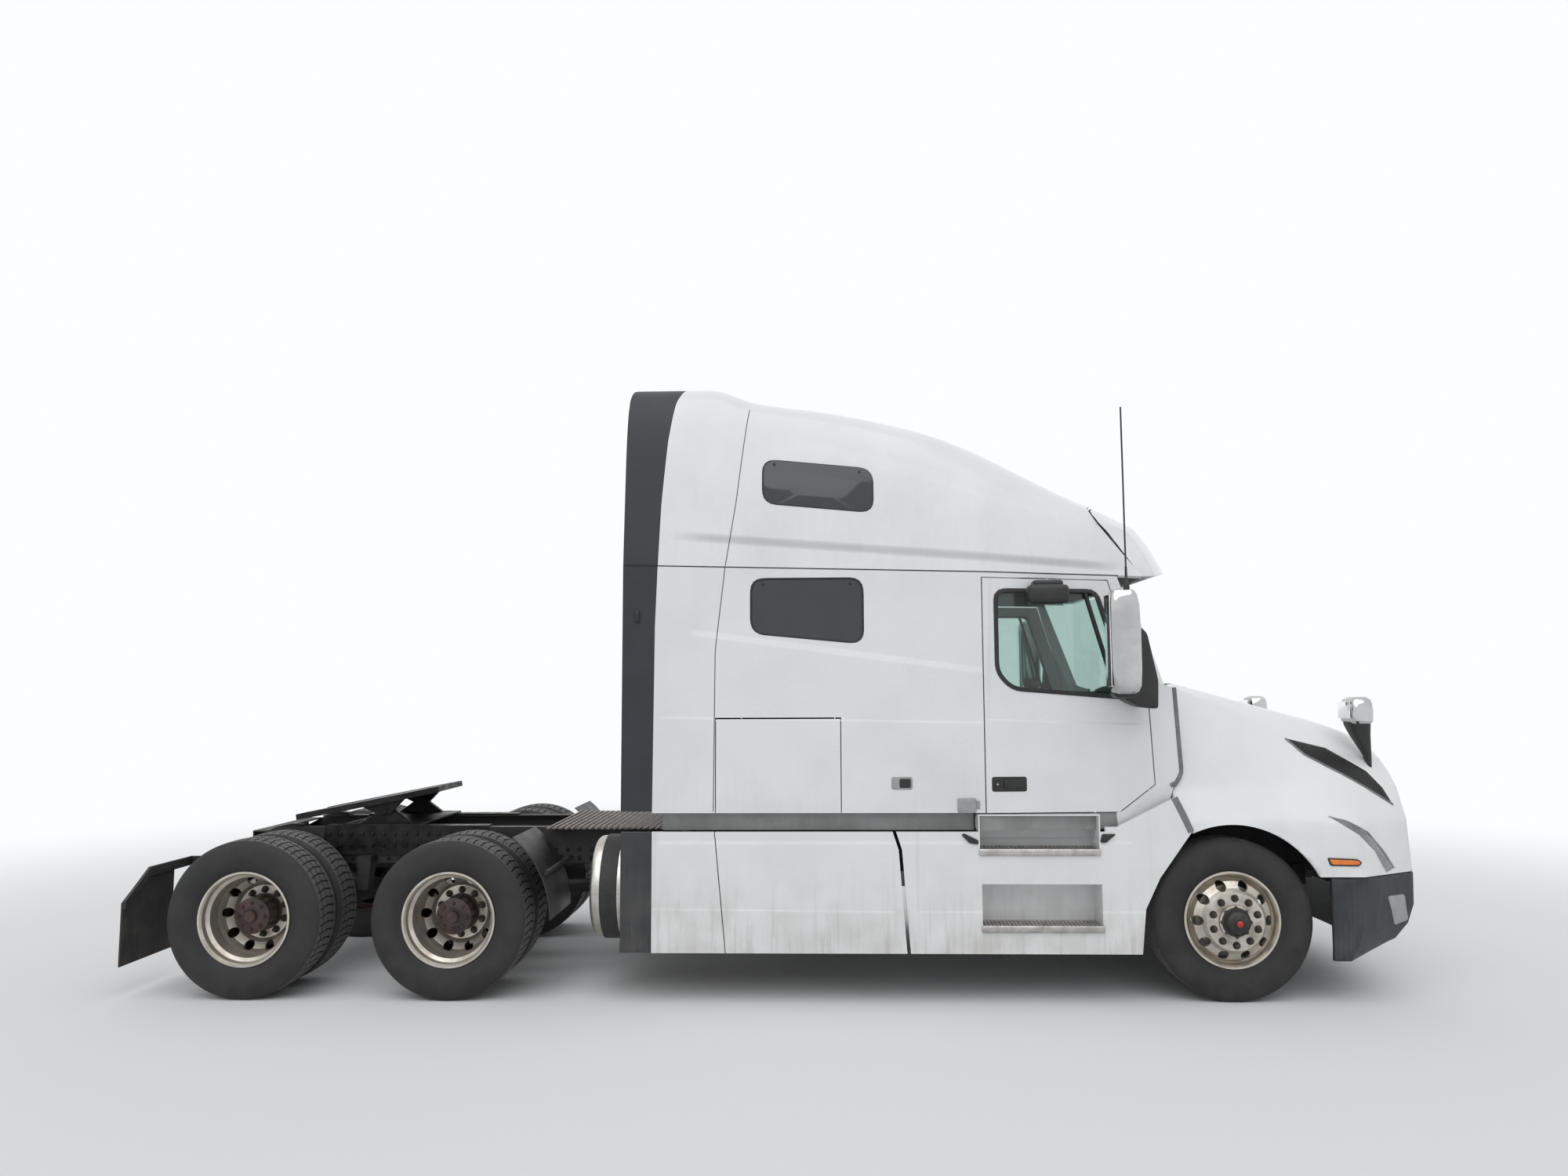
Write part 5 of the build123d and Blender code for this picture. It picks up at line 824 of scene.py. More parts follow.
def makeDeck():
    # ribbed plate: bars across the truck, worn bright on top, brown dust in the grooves
    material, tree, shader = startMaterial("ribbedDeck", Metallic=0.5)
    speckle = useGroup(tree, "speckle", Scale=7.0, Fine=200.0)
    rib = ranged(tree, maths(tree, "SINE", times(tree, split(tree)["X"], 150.0)), -0.2, 0.4)
    dust = cloudy(tree, speckle, (0.085, 0.068, 0.058, 1), (0.14, 0.115, 0.10, 1))
    top = cloudy(tree, speckle, (0.33, 0.30, 0.28, 1), (0.22, 0.19, 0.17, 1), 0.3)
    height = plus(tree, times(tree, rib, 0.005), times(tree, speckle["Grain"], 0.0006))
    connect(tree, shader, mixColour(tree, rib, dust, top), ranged(tree, rib, 0.0, 1.0, 0.8, 0.42), height)
    return material


finish["deck"] = makeDeck()
finish["alloy"] = makeWheelAlloy()
finish["tyre"] = makeTyreRubber()
finish["mesh"] = makeMesh("ventMesh", 260.0, 0.55)

nodeFinish = {
    "frame_rails": "chassis", "crossmembers": "chassis", "engine_and_radiator": "engine",
    "front_axle": "chassis",
    "knuckle": "chassis", "tie_rod": "chassis", "steer_wheel": "alloy", "drive_wheels": "alloy",
    "steer_tyre": "tyre", "drive_tyres": "tyre", "drive_axles": "chassis", "suspension": "chassis",
    "fuel_tanks": "tank", "deck_plate": "deck", "fifth_wheel_base": "greased", "fifth_wheel_plate": "greased",
    "quarter_fenders": "plastic", "mud_flaps": "flap", "flap_hangers": "chassis", "cab_tub": "recess",
    "cab_sides": paint["cab"], "cab_back": paint["cab"], "roof_cap": paint["roof"],
    "sun_visor": paint["visor"],
    "side_extenders": "panel", "windscreen": "clearGlass", "sleeper_windows": "darkGlass",
    "door_glass": "clearGlass", "door_mirror": "plastic", "look_down_mirror": "plastic",
    "luggage_door": paint["cab"], "door_": paint["door"], "hood_mirrors": "plastic", "hood": paint["hood"],
    "headlamps": "lampGlass", "grilles": "mesh", "bumper_centre": paint["hood"], "bumper": "panel",
    "side_skirts": paint["skirt"], "steps": "stepMetal", "dashboard": "interior", "seats_and_bunk": "cloth",
}
for nodeName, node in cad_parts.items():
    key = next(k for k in nodeFinish if nodeName.startswith(k))
    chosen = nodeFinish[key]
    chosen = finish[chosen] if isinstance(chosen, str) else chosen
    for place in node.material_slots:
        place.material = chosen
print("frame painted")

# camera, light and floor
cameraSet = {"place": (0.255, -8.26, 1.925), "yaw": -0.030, "pitch": 0.0955, "roll": -0.004, "lens": 25.2}
look = Vector((
    sin(cameraSet["yaw"]) * cos(cameraSet["pitch"]), cos(cameraSet["yaw"]) * cos(cameraSet["pitch"]),
    sin(cameraSet["pitch"]),
))
level = Vector((cos(cameraSet["yaw"]), -sin(cameraSet["yaw"]), 0))
upward = level.cross(look)
rightHand = level * cos(cameraSet["roll"]) + upward * sin(cameraSet["roll"])
upHand = -level * sin(cameraSet["roll"]) + upward * cos(cameraSet["roll"])
camera = bpy.data.objects.new("camera", bpy.data.cameras.new("camera"))
bpy.context.scene.collection.objects.link(camera)
camera.data.lens = cameraSet["lens"]
camera.data.sensor_width = 36
camera.data.clip_end = 400
turn = Matrix((rightHand, upHand, -look)).transposed().to_4x4()
camera.matrix_world = Matrix.Translation(cameraSet["place"]) @ turn
bpy.context.scene.camera = camera

lightSet = {"sky": 0.62, "sun": 1.05, "sunAngle": 70, "sunTurn": (32, -8), "glow": (0.97, 0.985, 1.0, 1)}


def seenDirectly(tree):
    # 1 for what the camera sees straight, in a reflection or through glass
    rays = tree.nodes.new("ShaderNodeLightPath").outputs
    straight = maths(tree, "MAXIMUM", rays["Is Camera Ray"], rays["Is Glossy Ray"])
    return maths(tree, "MAXIMUM", straight, rays["Is Transmission Ray"])


world = bpy.data.worlds.new("studioSky")
bpy.context.scene.world = world
world.use_nodes = True
sky = world.node_tree
sky.nodes.clear()
strength = plus(sky, lightSet["sky"], times(sky, seenDirectly(sky), 1.0 - lightSet["sky"]))
background = addNode(sky, "ShaderNodeBackground", Color=lightSet["glow"], Strength=strength)
skyOut = sky.nodes.new("ShaderNodeOutputWorld")
sky.links.new(background.outputs[0], skyOut.inputs[0])

sun = bpy.data.objects.new("softSun", bpy.data.lights.new("softSun", "SUN"))
sun.data.energy = lightSet["sun"]
sun.data.angle = radians(lightSet["sunAngle"])
sun.rotation_euler = (radians(lightSet["sunTurn"][0]), radians(lightSet["sunTurn"][1]), 0)
bpy.context.scene.collection.objects.link(sun)

floorSet = {
    "rings": (0.001, 8.0, 14.0, 24.0, 60.0), "turns": 96, "low": 0.001, "fadeFrom": 6.0, "fadeTo": 13.0,
}
floorMesh = bpy.data.meshes.new("floor")
ringT = np.linspace(0, 2 * pi, floorSet["turns"], endpoint=False)
ringR = np.array(floorSet["rings"])[:, None]
floorGrid = np.stack([ringR * np.cos(ringT), ringR * np.sin(ringT), 0 * ringR * ringT - floorSet["low"]], -1)
ringIndex = np.arange(ringR.size * ringT.size).reshape(-1, ringT.size)
ringNext = np.roll(ringIndex, -1, 1)
floorFaces = np.stack([ringIndex[:-1], ringIndex[1:], ringNext[1:], ringNext[:-1]], -1).reshape(-1, 4)
floorMesh.from_pydata(floorGrid.reshape(-1, 3).tolist(), [], floorFaces.tolist())
floor = bpy.data.objects.new("floor", floorMesh)
bpy.context.scene.collection.objects.link(floor)
floorMaterial, floorTree, floorShader = startMaterial("paleFloor", Roughness=0.9, Specular_IOR_Level=0.1)
distance = addNode(floorTree, "ShaderNodeVectorMath", {"operation": "LENGTH"}, i0=placeIn(floorTree))
fade = ranged(floorTree, distance.outputs["Value"], floorSet["fadeFrom"], floorSet["fadeTo"])
floorGlow = addNode(floorTree, "ShaderNodeEmission", Color=lightSet["glow"], Strength=1.0)
floorShader.inputs["Base Color"].default_value = (0.78, 0.79, 0.80, 1)
glowShare = times(floorTree, fade, seenDirectly(floorTree))
floorMix = addNode(
    floorTree, "ShaderNodeMixShader", i0=glowShare, i1=floorShader.outputs[0], i2=floorGlow.outputs[0],
)
floorTree.links.new(floorMix.outputs[0], floorTree.nodes["Material Output"].inputs[0])
floorMesh.materials.append(floorMaterial)
bpy.context.scene.view_settings.view_transform = "Standard"
print("camera, light and floor set")
# roof: one smooth skin for the cap and the arch behind it
def smoothAt(x, xs, ys):
    # monotone cubic through the table: harmonic mean slopes, then the four Hermite terms
    run, rise = np.diff(xs), np.diff(ys)
    slope = rise / run
    both, either = slope[1:] * slope[:-1], slope[1:] + slope[:-1]
    inner = np.where(both > 0, 2 * both / np.where(either == 0, 1, either), 0)
    tangent = np.concatenate([slope[:1], inner, slope[-1:]])
    k = np.clip(np.searchsorted(xs, x) - 1, 0, len(xs) - 2)
    t = np.clip((x - xs[k]) / run[k], 0, 1)
    first = (1 + 2 * t) * (1 - t)**2 * ys[k] + t * (1 - t)**2 * run[k] * tangent[k]
    return first + t**2 * (3 - 2 * t) * ys[k + 1] + t**2 * (t - 1) * run[k] * tangent[k + 1]


roofSet = {"round": 0.40, "edgeY": 0.93, "middleY": 0.40, "shoulderIn": 0.10, "wall": 0.035}


def roofPoint(a, s):
    # section corners at a, each cut to a quadratic arc; s runs from the right seam over the top to the left
    a, s = spread(a, s)
    shoulderZ, edgeZ, middleZ = [smoothAt(a, crownRows[:, 0], crownRows[:, k]) for k in (3, 4, 5)]
    foot = sideY(a)
    corners = np.stack([
        np.stack([foot, seamZ(a) + 0.001], -1), np.stack([foot - roofSet["shoulderIn"], shoulderZ], -1),
        np.stack([roofSet["edgeY"] + 0 * a, edgeZ], -1), np.stack([roofSet["middleY"] + 0 * a, middleZ], -1),
        np.stack([0 * a, middleZ], -1),
    ], -2)
    side = np.where(s > 0.5, 1, -1)
    along = (1 - np.abs(2 * s - 1)) * 3.9999
    # corner 1, 2 and 3 own the stretch from one half run before to one half run after
    k = np.clip(np.floor(along + 0.5).astype(int), 1, 3)
    here = np.take_along_axis(corners, k[..., None, None].repeat(2, -1), -2)[..., 0, :]
    before = np.take_along_axis(corners, (k - 1)[..., None, None].repeat(2, -1), -2)[..., 0, :]
    after = np.take_along_axis(corners, (k + 1)[..., None, None].repeat(2, -1), -2)[..., 0, :]
    part = (along - k)[..., None]
    f = roofSet["round"]
    t = np.clip((part + f) / (2 * f), 0, 1)
    start, end = here + f * (before - here), here + f * (after - here)
    arc = (1 - t)**2 * start + 2 * t * (1 - t) * here + t**2 * end
    straight = np.where(part < 0, here + part * (here - before), here + part * (after - here))
    flat = np.where(np.abs(part) > f, straight, arc)
    return np.stack([aft(a), side * flat[..., 0], flat[..., 1]], -1)


def roofSkin(a, z):
    # half width of the smooth roof at a height: halving the interval of s until its height fits
    a, z = spread(a, z)
    low, high = np.zeros_like(a), np.full_like(a, 0.5)
    for _ in range(26):
        middle = (low + high) / 2
        under = roofPoint(a, middle)[..., 2] < z
        low, high = np.where(under, middle, low), np.where(under, high, middle)
    return np.abs(roofPoint(a, (low + high) / 2)[..., 1])


def settle(s, rule):
    # distance at which the skin meets a cut that depends on width and height: repeated substitution
    a = np.full_like(s, 1.0)
    for _ in range(40):
        at = roofPoint(a, s)
        a = rule(at[..., 1], at[..., 2])
    return a


extenderLine = np.array(
    [(1.0, 3.64), (1.17, 3.64), (2.35, 3.63), (3.17, 3.60), (3.59, 3.566), (3.88, 3.526), (4.10, 3.44)],
)


def visorCut(y, z):
    wide = (y / 1.12)**2
    return 0.2945 + 0.173 * wide + (0.525 + 0.301 * wide) * (z - 2.66)


def extenderCut(y, z):
    return np.interp(z, extenderLine[:, 0], extenderLine[:, 1])


def thickPatch(outside, wall, middle):
    # closed shell: the outside grid, and the same grid drawn in by the wall towards a middle line
    du = np.gradient(outside, axis=0)
    dv = np.gradient(outside, axis=1)
    normal = np.cross(du, dv)
    normal /= np.maximum(np.linalg.norm(normal, axis=-1, keepdims=True), 1e-9)
    away = np.sum(normal * (outside - middle), -1, keepdims=True)
    normal = np.where(away < 0, -normal, normal)
    inside = outside - wall * normal
    grid = np.concatenate([outside, inside[::-1]])
    left = np.stack([outside[:, 0], inside[:, 0]])
    right = np.stack([outside[:, -1], inside[:, -1]])
    return [(grid, True, False), (left, False, False), (right, False, False)]


sSteps = np.concatenate([np.linspace(0, 0.5, 49)[:-1], np.linspace(0.5, 1, 49)])
front, rear = settle(sSteps, visorCut), settle(sSteps, extenderCut)
u = np.linspace(0, 1, 97)[:, None]
roofGrid = roofPoint(front + u * (rear - 0.0008 - front), sSteps + 0 * u)
roofMiddle = np.stack([roofGrid[..., 0], 0 * roofGrid[..., 1], 0 * roofGrid[..., 2] + 2.75], -1)
roofShell = makePiece(
    "roofShell", thickPatch(roofGrid, roofSet["wall"], roofMiddle), paint["roof"], "chassis",
)
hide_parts("roof_cap")
# wall behind the roof: the roof's width at each height, points closer together at its sides
wallSet = {"low": 2.757, "shoulder": 3.70, "high": 4.046, "in": 0.006, "wall": 0.012}
lowPart = np.linspace(wallSet["low"], wallSet["shoulder"], 24)
highPart = np.linspace(wallSet["shoulder"] + 0.02, wallSet["high"], 30)
wallZ = np.concatenate([lowPart, highPart])[:, None]
wallA = extenderCut(0, wallZ)
wallHalf = np.maximum(roofSkin(wallA, wallZ) - wallSet["in"], 0.001)
across = -np.cos(np.linspace(0, pi, 33))[None]
wallGrid = np.stack([aft(wallA - 0.001) + 0 * across, wallHalf * across, wallZ + 0 * across], -1)
roofBack = thickPatch(wallGrid, wallSet["wall"], wallGrid + np.array([1.0, 0, 0]))
makePiece("roofBack", roofBack, paint["cab"], "chassis")

# arch behind the cab: the same section carried down both sides to the sill
archSet = {"foot": 1.18, "top": 2.735, "count": 16, "rear": 3.84, "joint": 0.0008}


def archRear(y, z):
    return np.interp(z, [3.90, 3.985, 4.03, 4.06], [3.84, 3.83, 3.80, 3.74])


count = archSet["count"]
sideRun = np.linspace(archSet["foot"], archSet["top"], count)
archS = np.concatenate([np.zeros(count), sSteps[1:-1], np.ones(count)])
uArch = np.linspace(0, 1, 9)[:, None]
archFront = np.concatenate([extenderCut(0, sideRun), rear[1:-1], extenderCut(0, sideRun[::-1])])
upright = np.full(count, archSet["rear"])
archBack = np.concatenate([upright, settle(sSteps[1:-1], archRear), upright])
archA = archFront + archSet["joint"] + uArch * (archBack - archFront - archSet["joint"])
archGrid = roofPoint(archA, archS + 0 * uArch)
lowSide = np.concatenate([sideRun, np.full(len(sSteps) - 2, np.nan), sideRun[::-1]])
archGrid[..., 2] = np.where(np.isnan(lowSide), archGrid[..., 2], lowSide)
archGrid[:, :count, 1], archGrid[:, -count:, 1] = -truck["bodyHalf"], truck["bodyHalf"]
archMiddle = np.stack([archGrid[..., 0], 0 * archGrid[..., 1], np.minimum(archGrid[..., 2], 3.0)], -1)
arch = thickPatch(archGrid, roofSet["wall"], archMiddle)
strips = mirrored([roundBox((aft(3.7402), 1.205, 0.679), (0.199, 0.030, 0.745), 0.006)])
hooks = mirrored([roundBox((aft(3.745), 1.226, 2.42), (0.030, 0.016, 0.075), 0.006)])
extenders = makePiece("extenderArch", arch + strips, finish["panel"], "chassis")
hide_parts("side_extenders")
makePiece("extenderHooks", hooks, finish["plastic"], "chassis")
print("roof and extenders made")

# CAD shapes with their gentle edges rounded: node, piece, cell size, rounds, material, body
easedPieces = [
    ("hood", "hoodShell", 0.045, 24, paint["hood"], "hood"),
    ("bumper", "bumperShell", 0.045, 10, finish["panel"], "chassis"),
    ("bumper_centre", "bumperMiddle", 0.045, 10, paint["hood"], "chassis"),
    ("sun_visor", "visorShell", 0.040, 12, paint["visor"], "chassis"),
    ("headlamps", "headlampLenses", 0.040, 16, finish["lampGlass"], "hood"),
    ("grilles", "grilleMeshes", 0.040, 16, finish["mesh"], "hood"),
]
for row in easedPieces:
    easedCopy(*row)
print("shells eased")

# tyres: mould profile carried round the axle, less the grooves
tyreSet = {
    "depth": 0.010, "lugs": 60, "chevron": 0.30, "steerGrooves": (-0.078, -0.030, 0.030, 0.078),
    "driveGrooves": (-0.066, 0.0, 0.066), "groove": 0.0075, "treadHalf": 0.105, "crown": 0.0035,
    "steerY": 1.03, "outerY": 1.075, "innerY": 0.74,
}


def tyrePatch(a, y, lugs):
    # r(t, s) = profile radius - depth where a groove or the gap between two lugs lies
    wallProfile = np.array([
        (0.2885, 0.078), (0.2885, 0.103), (0.296, 0.1085), (0.302, 0.1105), (0.316, 0.120), (0.338, 0.1300),
        (0.362, 0.1365), (0.388, 0.1398), (0.412, 0.1395), (0.436, 0.1368), (0.458, 0.1325), (0.474, 0.1275),
        (0.486, 0.1205), (0.4955, 0.1130),
    ])
    grooves = tyreSet["driveGrooves"] if lugs else tyreSet["steerGrooves"]
    g = tyreSet["groove"]
    edges = np.concatenate([(c - g - 0.001, c - g + 0.001, c + g - 0.001, c + g + 0.001) for c in grooves])
    half = tyreSet["treadHalf"]
    tread = np.unique(np.concatenate([edges, np.linspace(-half, half, 9)]))[::-1]
    crown = truck["tyreRadius"] - tyreSet["crown"] * (tread / half)**2
    inner = np.array([(0.470, 0.090), (0.440, 0.118), (0.380, 0.122), (0.330, 0.112)])
    profile = np.concatenate([
        wallProfile, np.stack([crown, tread], -1), wallProfile[::-1] * (1, -1), inner[::-1] * (1, -1), inner,
    ])
    r, h = profile[:, 0], profile[:, 1]
    inTread = np.zeros(len(r), bool)
    inTread[len(wallProfile):len(wallProfile) + len(tread)] = True
    slot = np.any(np.abs(h[:, None] - np.array(grooves)) < g, 1) & inTread
    if lugs:
        share = np.array([0.0, 0.015, 0.20, 0.215, 0.60])
        t = ((np.arange(tyreSet["lugs"])[:, None] + share) / tyreSet["lugs"]).reshape(-1) * 2 * pi
        gap = np.tile(np.array([False, True, True, False, False]), tyreSet["lugs"])
        shoulder = inTread & (np.abs(h) < 0.100)
        skew = tyreSet["chevron"] * (1 - np.abs(h) / 0.11) * 2 * pi / tyreSet["lugs"] * shoulder
    else:
        t = np.linspace(0, 2 * pi, 120, endpoint=False)
        gap = np.zeros(120, bool)
        shoulder, skew = inTread, 0 * h
    gapDepth = np.where(gap[:, None] & shoulder[None], tyreSet["depth"] * 0.85, 0)
    depth = np.where(slot[None], tyreSet["depth"], gapDepth)
    radius = r[None] - depth
    angle = t[:, None] + skew[None]
    height = truck["tyreRadius"] + radius * np.sin(angle)
    grid = np.stack([aft(a) + radius * np.cos(angle), y + h[None] + 0 * angle, height], -1)
    return (grid, True, True)


def addTyres(name, patches, body, node):
    piece = makePiece(name, patches, finish["tyre"], body, sharp=30)
    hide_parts(node)


sides = (("left", 1), ("right", -1))
driveAxles = tuple(zip(("front", "rear"), truck["driveAxles"]))
for side, sign in sides:
    steerTyre = [tyrePatch(0, sign * tyreSet["steerY"], False)]
    addTyres(f"steerTyre_{side}", steerTyre, f"steer_wheel_{side}", f"steer_tyre_{side}")
    for axle, a in driveAxles:
        pair = [tyrePatch(a, sign * tyreSet[key], True) for key in ("outerY", "innerY")]
        place = f"{axle}_{side}"
        addTyres(f"driveTyres_{place}", pair, f"drive_wheels_{place}", f"drive_tyres_{place}")
print("tyres made")

# wheel nuts, hub bolts and caps: distances from the middle plane, circles, then profiles (radius, outward)
wheelSet = {
    "nutCircle": 0.1429, "steerNutY": 1.198, "driveNutY": 0.919, "capY": 1.262, "capBoltY": 1.2625,
    "capCircle": 0.050, "flangeY": 1.192, "flangeBoltY": 1.203, "flangeCircle": 0.088, "plugY": 1.270,
    "studY": 1.0885, "studCircle": 0.086, "collarY": 1.0965,
}
turnedParts = {
    "nut": ([
        (0, 0), (0.0175, 0), (0.0175, 0.024), (0.0145, 0.030), (0.010, 0.031), (0.009, 0.042), (0, 0.044),
    ], 6),
    "washer": ([(0, 0.0005), (0.024, 0.0005), (0.022, 0.006), (0, 0.007)], 20),
    "cap": ([
        (0.066, -0.050), (0.070, -0.048), (0.070, -0.012), (0.062, -0.002), (0.058, 0.001), (0.030, 0.004),
        (0.026, 0.010), (0, 0.010), (0, -0.050),
    ], 40),
    "capBolt": ([(0, 0), (0.006, 0), (0.006, 0.004), (0.004, 0.005), (0, 0.005)], 6),
    "flange": ([
        (0.104, -0.030), (0.106, 0.004), (0.100, 0.010), (0.078, 0.012), (0.072, 0.020), (0.066, 0.022),
        (0.064, -0.030),
    ], 48),
    "flangeBolt": ([(0, 0), (0.012, 0), (0.012, 0.012), (0.009, 0.015), (0, 0.015)], 6),
    "plug": ([(0, 0), (0.019, 0), (0.019, 0.006), (0.012, 0.012), (0, 0.014)], 24),
    "stud": ([(0, -0.004), (0.011, -0.004), (0.011, 0.012), (0.006, 0.014), (0.006, 0.022), (0, 0.024)], 6),
    "collar": ([(0, 0.026), (0.030, 0.026), (0.038, 0.018), (0.040, -0.004), (0, -0.004)], 32),
}


def ringPlaces(a, y, radius, count, phase=0.0):
    t = np.arange(count) * 2 * pi / count + phase
    return np.stack([aft(a) + radius * np.cos(t), 0 * t + y, truck["tyreRadius"] + radius * np.sin(t)], -1)


def turned(key, sign, places):
    # a turned part facing left or right, copied to each place
    profile, turns = turnedParts[key]
    return copies(lathe(profile, (0, 0, 0), (0, sign, 0), turns), places)


def wheelNuts(a, y, sign):
    places = ringPlaces(a, sign * y, wheelSet["nutCircle"], 10, pi / 10)
    return turned("nut", sign, places) + turned("washer", sign, places)


for side, sign in sides:
    w = wheelSet
    body = f"steer_wheel_{side}"
    makePiece(f"steerNuts_{side}", wheelNuts(0, w["steerNutY"], sign), finish["nut"], body)
    hubCap = turned("cap", sign, ringPlaces(0, sign * w["capY"], 0, 1))
    hubCap += turned("flange", sign, ringPlaces(0, sign * w["flangeY"], 0, 1))
    hubCap += turned("capBolt", sign, ringPlaces(0, sign * w["capBoltY"], w["capCircle"], 6))
    hubCap += turned("flangeBolt", sign, ringPlaces(0, sign * w["flangeBoltY"], w["flangeCircle"], 8))
    makePiece(f"hubCap_{side}", hubCap, finish["plastic"], body)
    plug = turned("plug", sign, ringPlaces(0, sign * w["plugY"], 0, 1))
    makePiece(f"hubPlug_{side}", plug, finish["red"], body)
    for axle, a in driveAxles:
        body = f"drive_wheels_{axle}_{side}"
        makePiece(f"driveNuts_{axle}_{side}", wheelNuts(a, w["driveNutY"], sign), finish["nut"], body)
        hub = turned("stud", sign, ringPlaces(a, sign * w["studY"], w["studCircle"], 8))
        hub += turned("collar", sign, ringPlaces(a, sign * w["collarY"], 0, 1))
        makePiece(f"driveHub_{axle}_{side}", hub, finish["hubRust"], body)
print("wheel fittings made")

# seals, joint lines and panes on the cab
doorWindow = [(1.440, 2.575), (0.790, 2.570), (0.585, 1.890), (0.690, 1.895), (1.344, 1.949), (1.440, 2.050)]
lowerWindow = [(3.010, 2.310), (3.010, 2.660), (2.290, 2.660), (2.290, 2.240)]
upperWindow = [(2.934, 3.165), (2.934, 3.460), (2.216, 3.390), (2.216, 3.097)]
sealSet = {"pane": 0.014, "joint": 0.007, "cowl": 0.032, "fender": 0.046}


def boxOutline(a1, a2, z1, z2, radius):
    return roundedOutline([(a1, z1), (a2, z1), (a2, z2), (a1, z2)], radius)


def bothPads(outline, skin, *levels):
    return [sidePad(outline, skin, sign, *levels) for sign in (1, -1)]


def bothStrips(line, skin, *section):
    return [skinStrip(line, skin, sign, *section) for sign in (1, -1)]


def studPads(places, skin, low, high):
    r = 0.010
    outlines = [boxOutline(a - r, a + r, z - r, z + r, 0.009) for a, z in places]
    return sum([bothPads(outline, skin, low, high) for outline in outlines], [])


upperOutline, lowerOutline = roundedOutline(upperWindow, 0.085), roundedOutline(lowerWindow, 0.085)
upperPads = bothPads(denser(upperOutline, 0.03, True), roofSkin, -0.006, 0.003)
panes = makePiece("upperPanes", upperPads, finish["darkGlass"], "chassis")
paneSeals = bothStrips(upperOutline, roofSkin, halfRound(sealSet["pane"], 0.005), True, 0.03)
paneSeals += bothStrips(lowerOutline, cabSkin, halfRound(sealSet["pane"], 0.004), True, 0.03)
makePiece("paneSeals", paneSeals, finish["rubber"], "chassis")
studs = studPads([(2.86, 3.425), (2.30, 3.370)], roofSkin, 0.0, 0.010)
studs += studPads([(2.93, 2.625), (2.37, 2.625)], cabSkin, -0.012, 0.005)
makePiece("paneStuds", studs, finish["rubber"], "chassis")
windowLip = [
    (-0.015, -0.004), (-0.015, 0.004), (-0.010, 0.007), (0.008, 0.007), (0.013, 0.003), (0.013, -0.004),
]
postSection = [(-0.010, -0.03), (-0.010, 0.002), (0.010, 0.002), (0.010, -0.03)]
for side, sign in sides:
    seal = skinStrip(roundedOutline(doorWindow, 0.06), cabSkin, sign, windowLip, True, 0.03)
    post = skinStrip([(0.860, 2.572), (0.668, 1.900)], cabSkin, sign, postSection)
    makePiece(f"doorWindowSeal_{side}", [seal, post], finish["rubber"], f"door_{side}")

flat = [(-1, -0.001), (-1, 0.0012), (0, 0.0018), (1, 0.0012), (1, -0.001)]
joint = [(x * sealSet["joint"] / 2, h) for x, h in flat]
seamLine = [(a, float(seamZ(a))) for a in np.linspace(0.64, 3.835, 24)]
cowlLine = [(0.300, 1.952), (0.279, 1.540), (0.272, 1.420), (0.302, 1.352), (0.345, 1.332)]
skirtLine = [(0.356, 1.262), (0.300, 1.145), (0.260, 1.052)]
makePiece("roofJoint", bothStrips(seamLine, cabSkin, joint), finish["darkGap"], "chassis")
cowlSeals = bothStrips(cowlLine, cabSkin, halfRound(sealSet["cowl"], 0.010, -0.004))
cowlSeals += bothStrips(skirtLine, skirtSkin, halfRound(sealSet["fender"], 0.008, -0.004))
makePiece("cowlSeals", cowlSeals, finish["greyRubber"], "chassis")
print("seals made")

# handles, latches, covers, step pads and sill panels: an outline, then its low, high and edge
doorFittings = {
    "doorHandle": (finish["plastic"], [
        (boxOutline(1.267, 1.490, 1.301, 1.394, 0.016), -0.006, 0.0035),
        (boxOutline(1.290, 1.415, 1.322, 1.372, 0.012), 0.002, 0.016, 0.006),
        (boxOutline(1.436, 1.474, 1.328, 1.366, 0.018), 0.002, 0.008),
    ]),
    "doorKey": (finish["stepMetal"], [(boxOutline(1.449, 1.461, 1.341, 1.353, 0.006), 0.006, 0.0095, 0.001)]),
}
for side, sign in sides:
    for name, (material, pads) in doorFittings.items():
        patches = [sidePad(outline, cabSkin, sign, *levels) for outline, *levels in pads]
        makePiece(f"{name}_{side}", patches, material, f"door_{side}")


def sillSkin(a, z):
    return sideY(a) - 0.014 + 0 * z


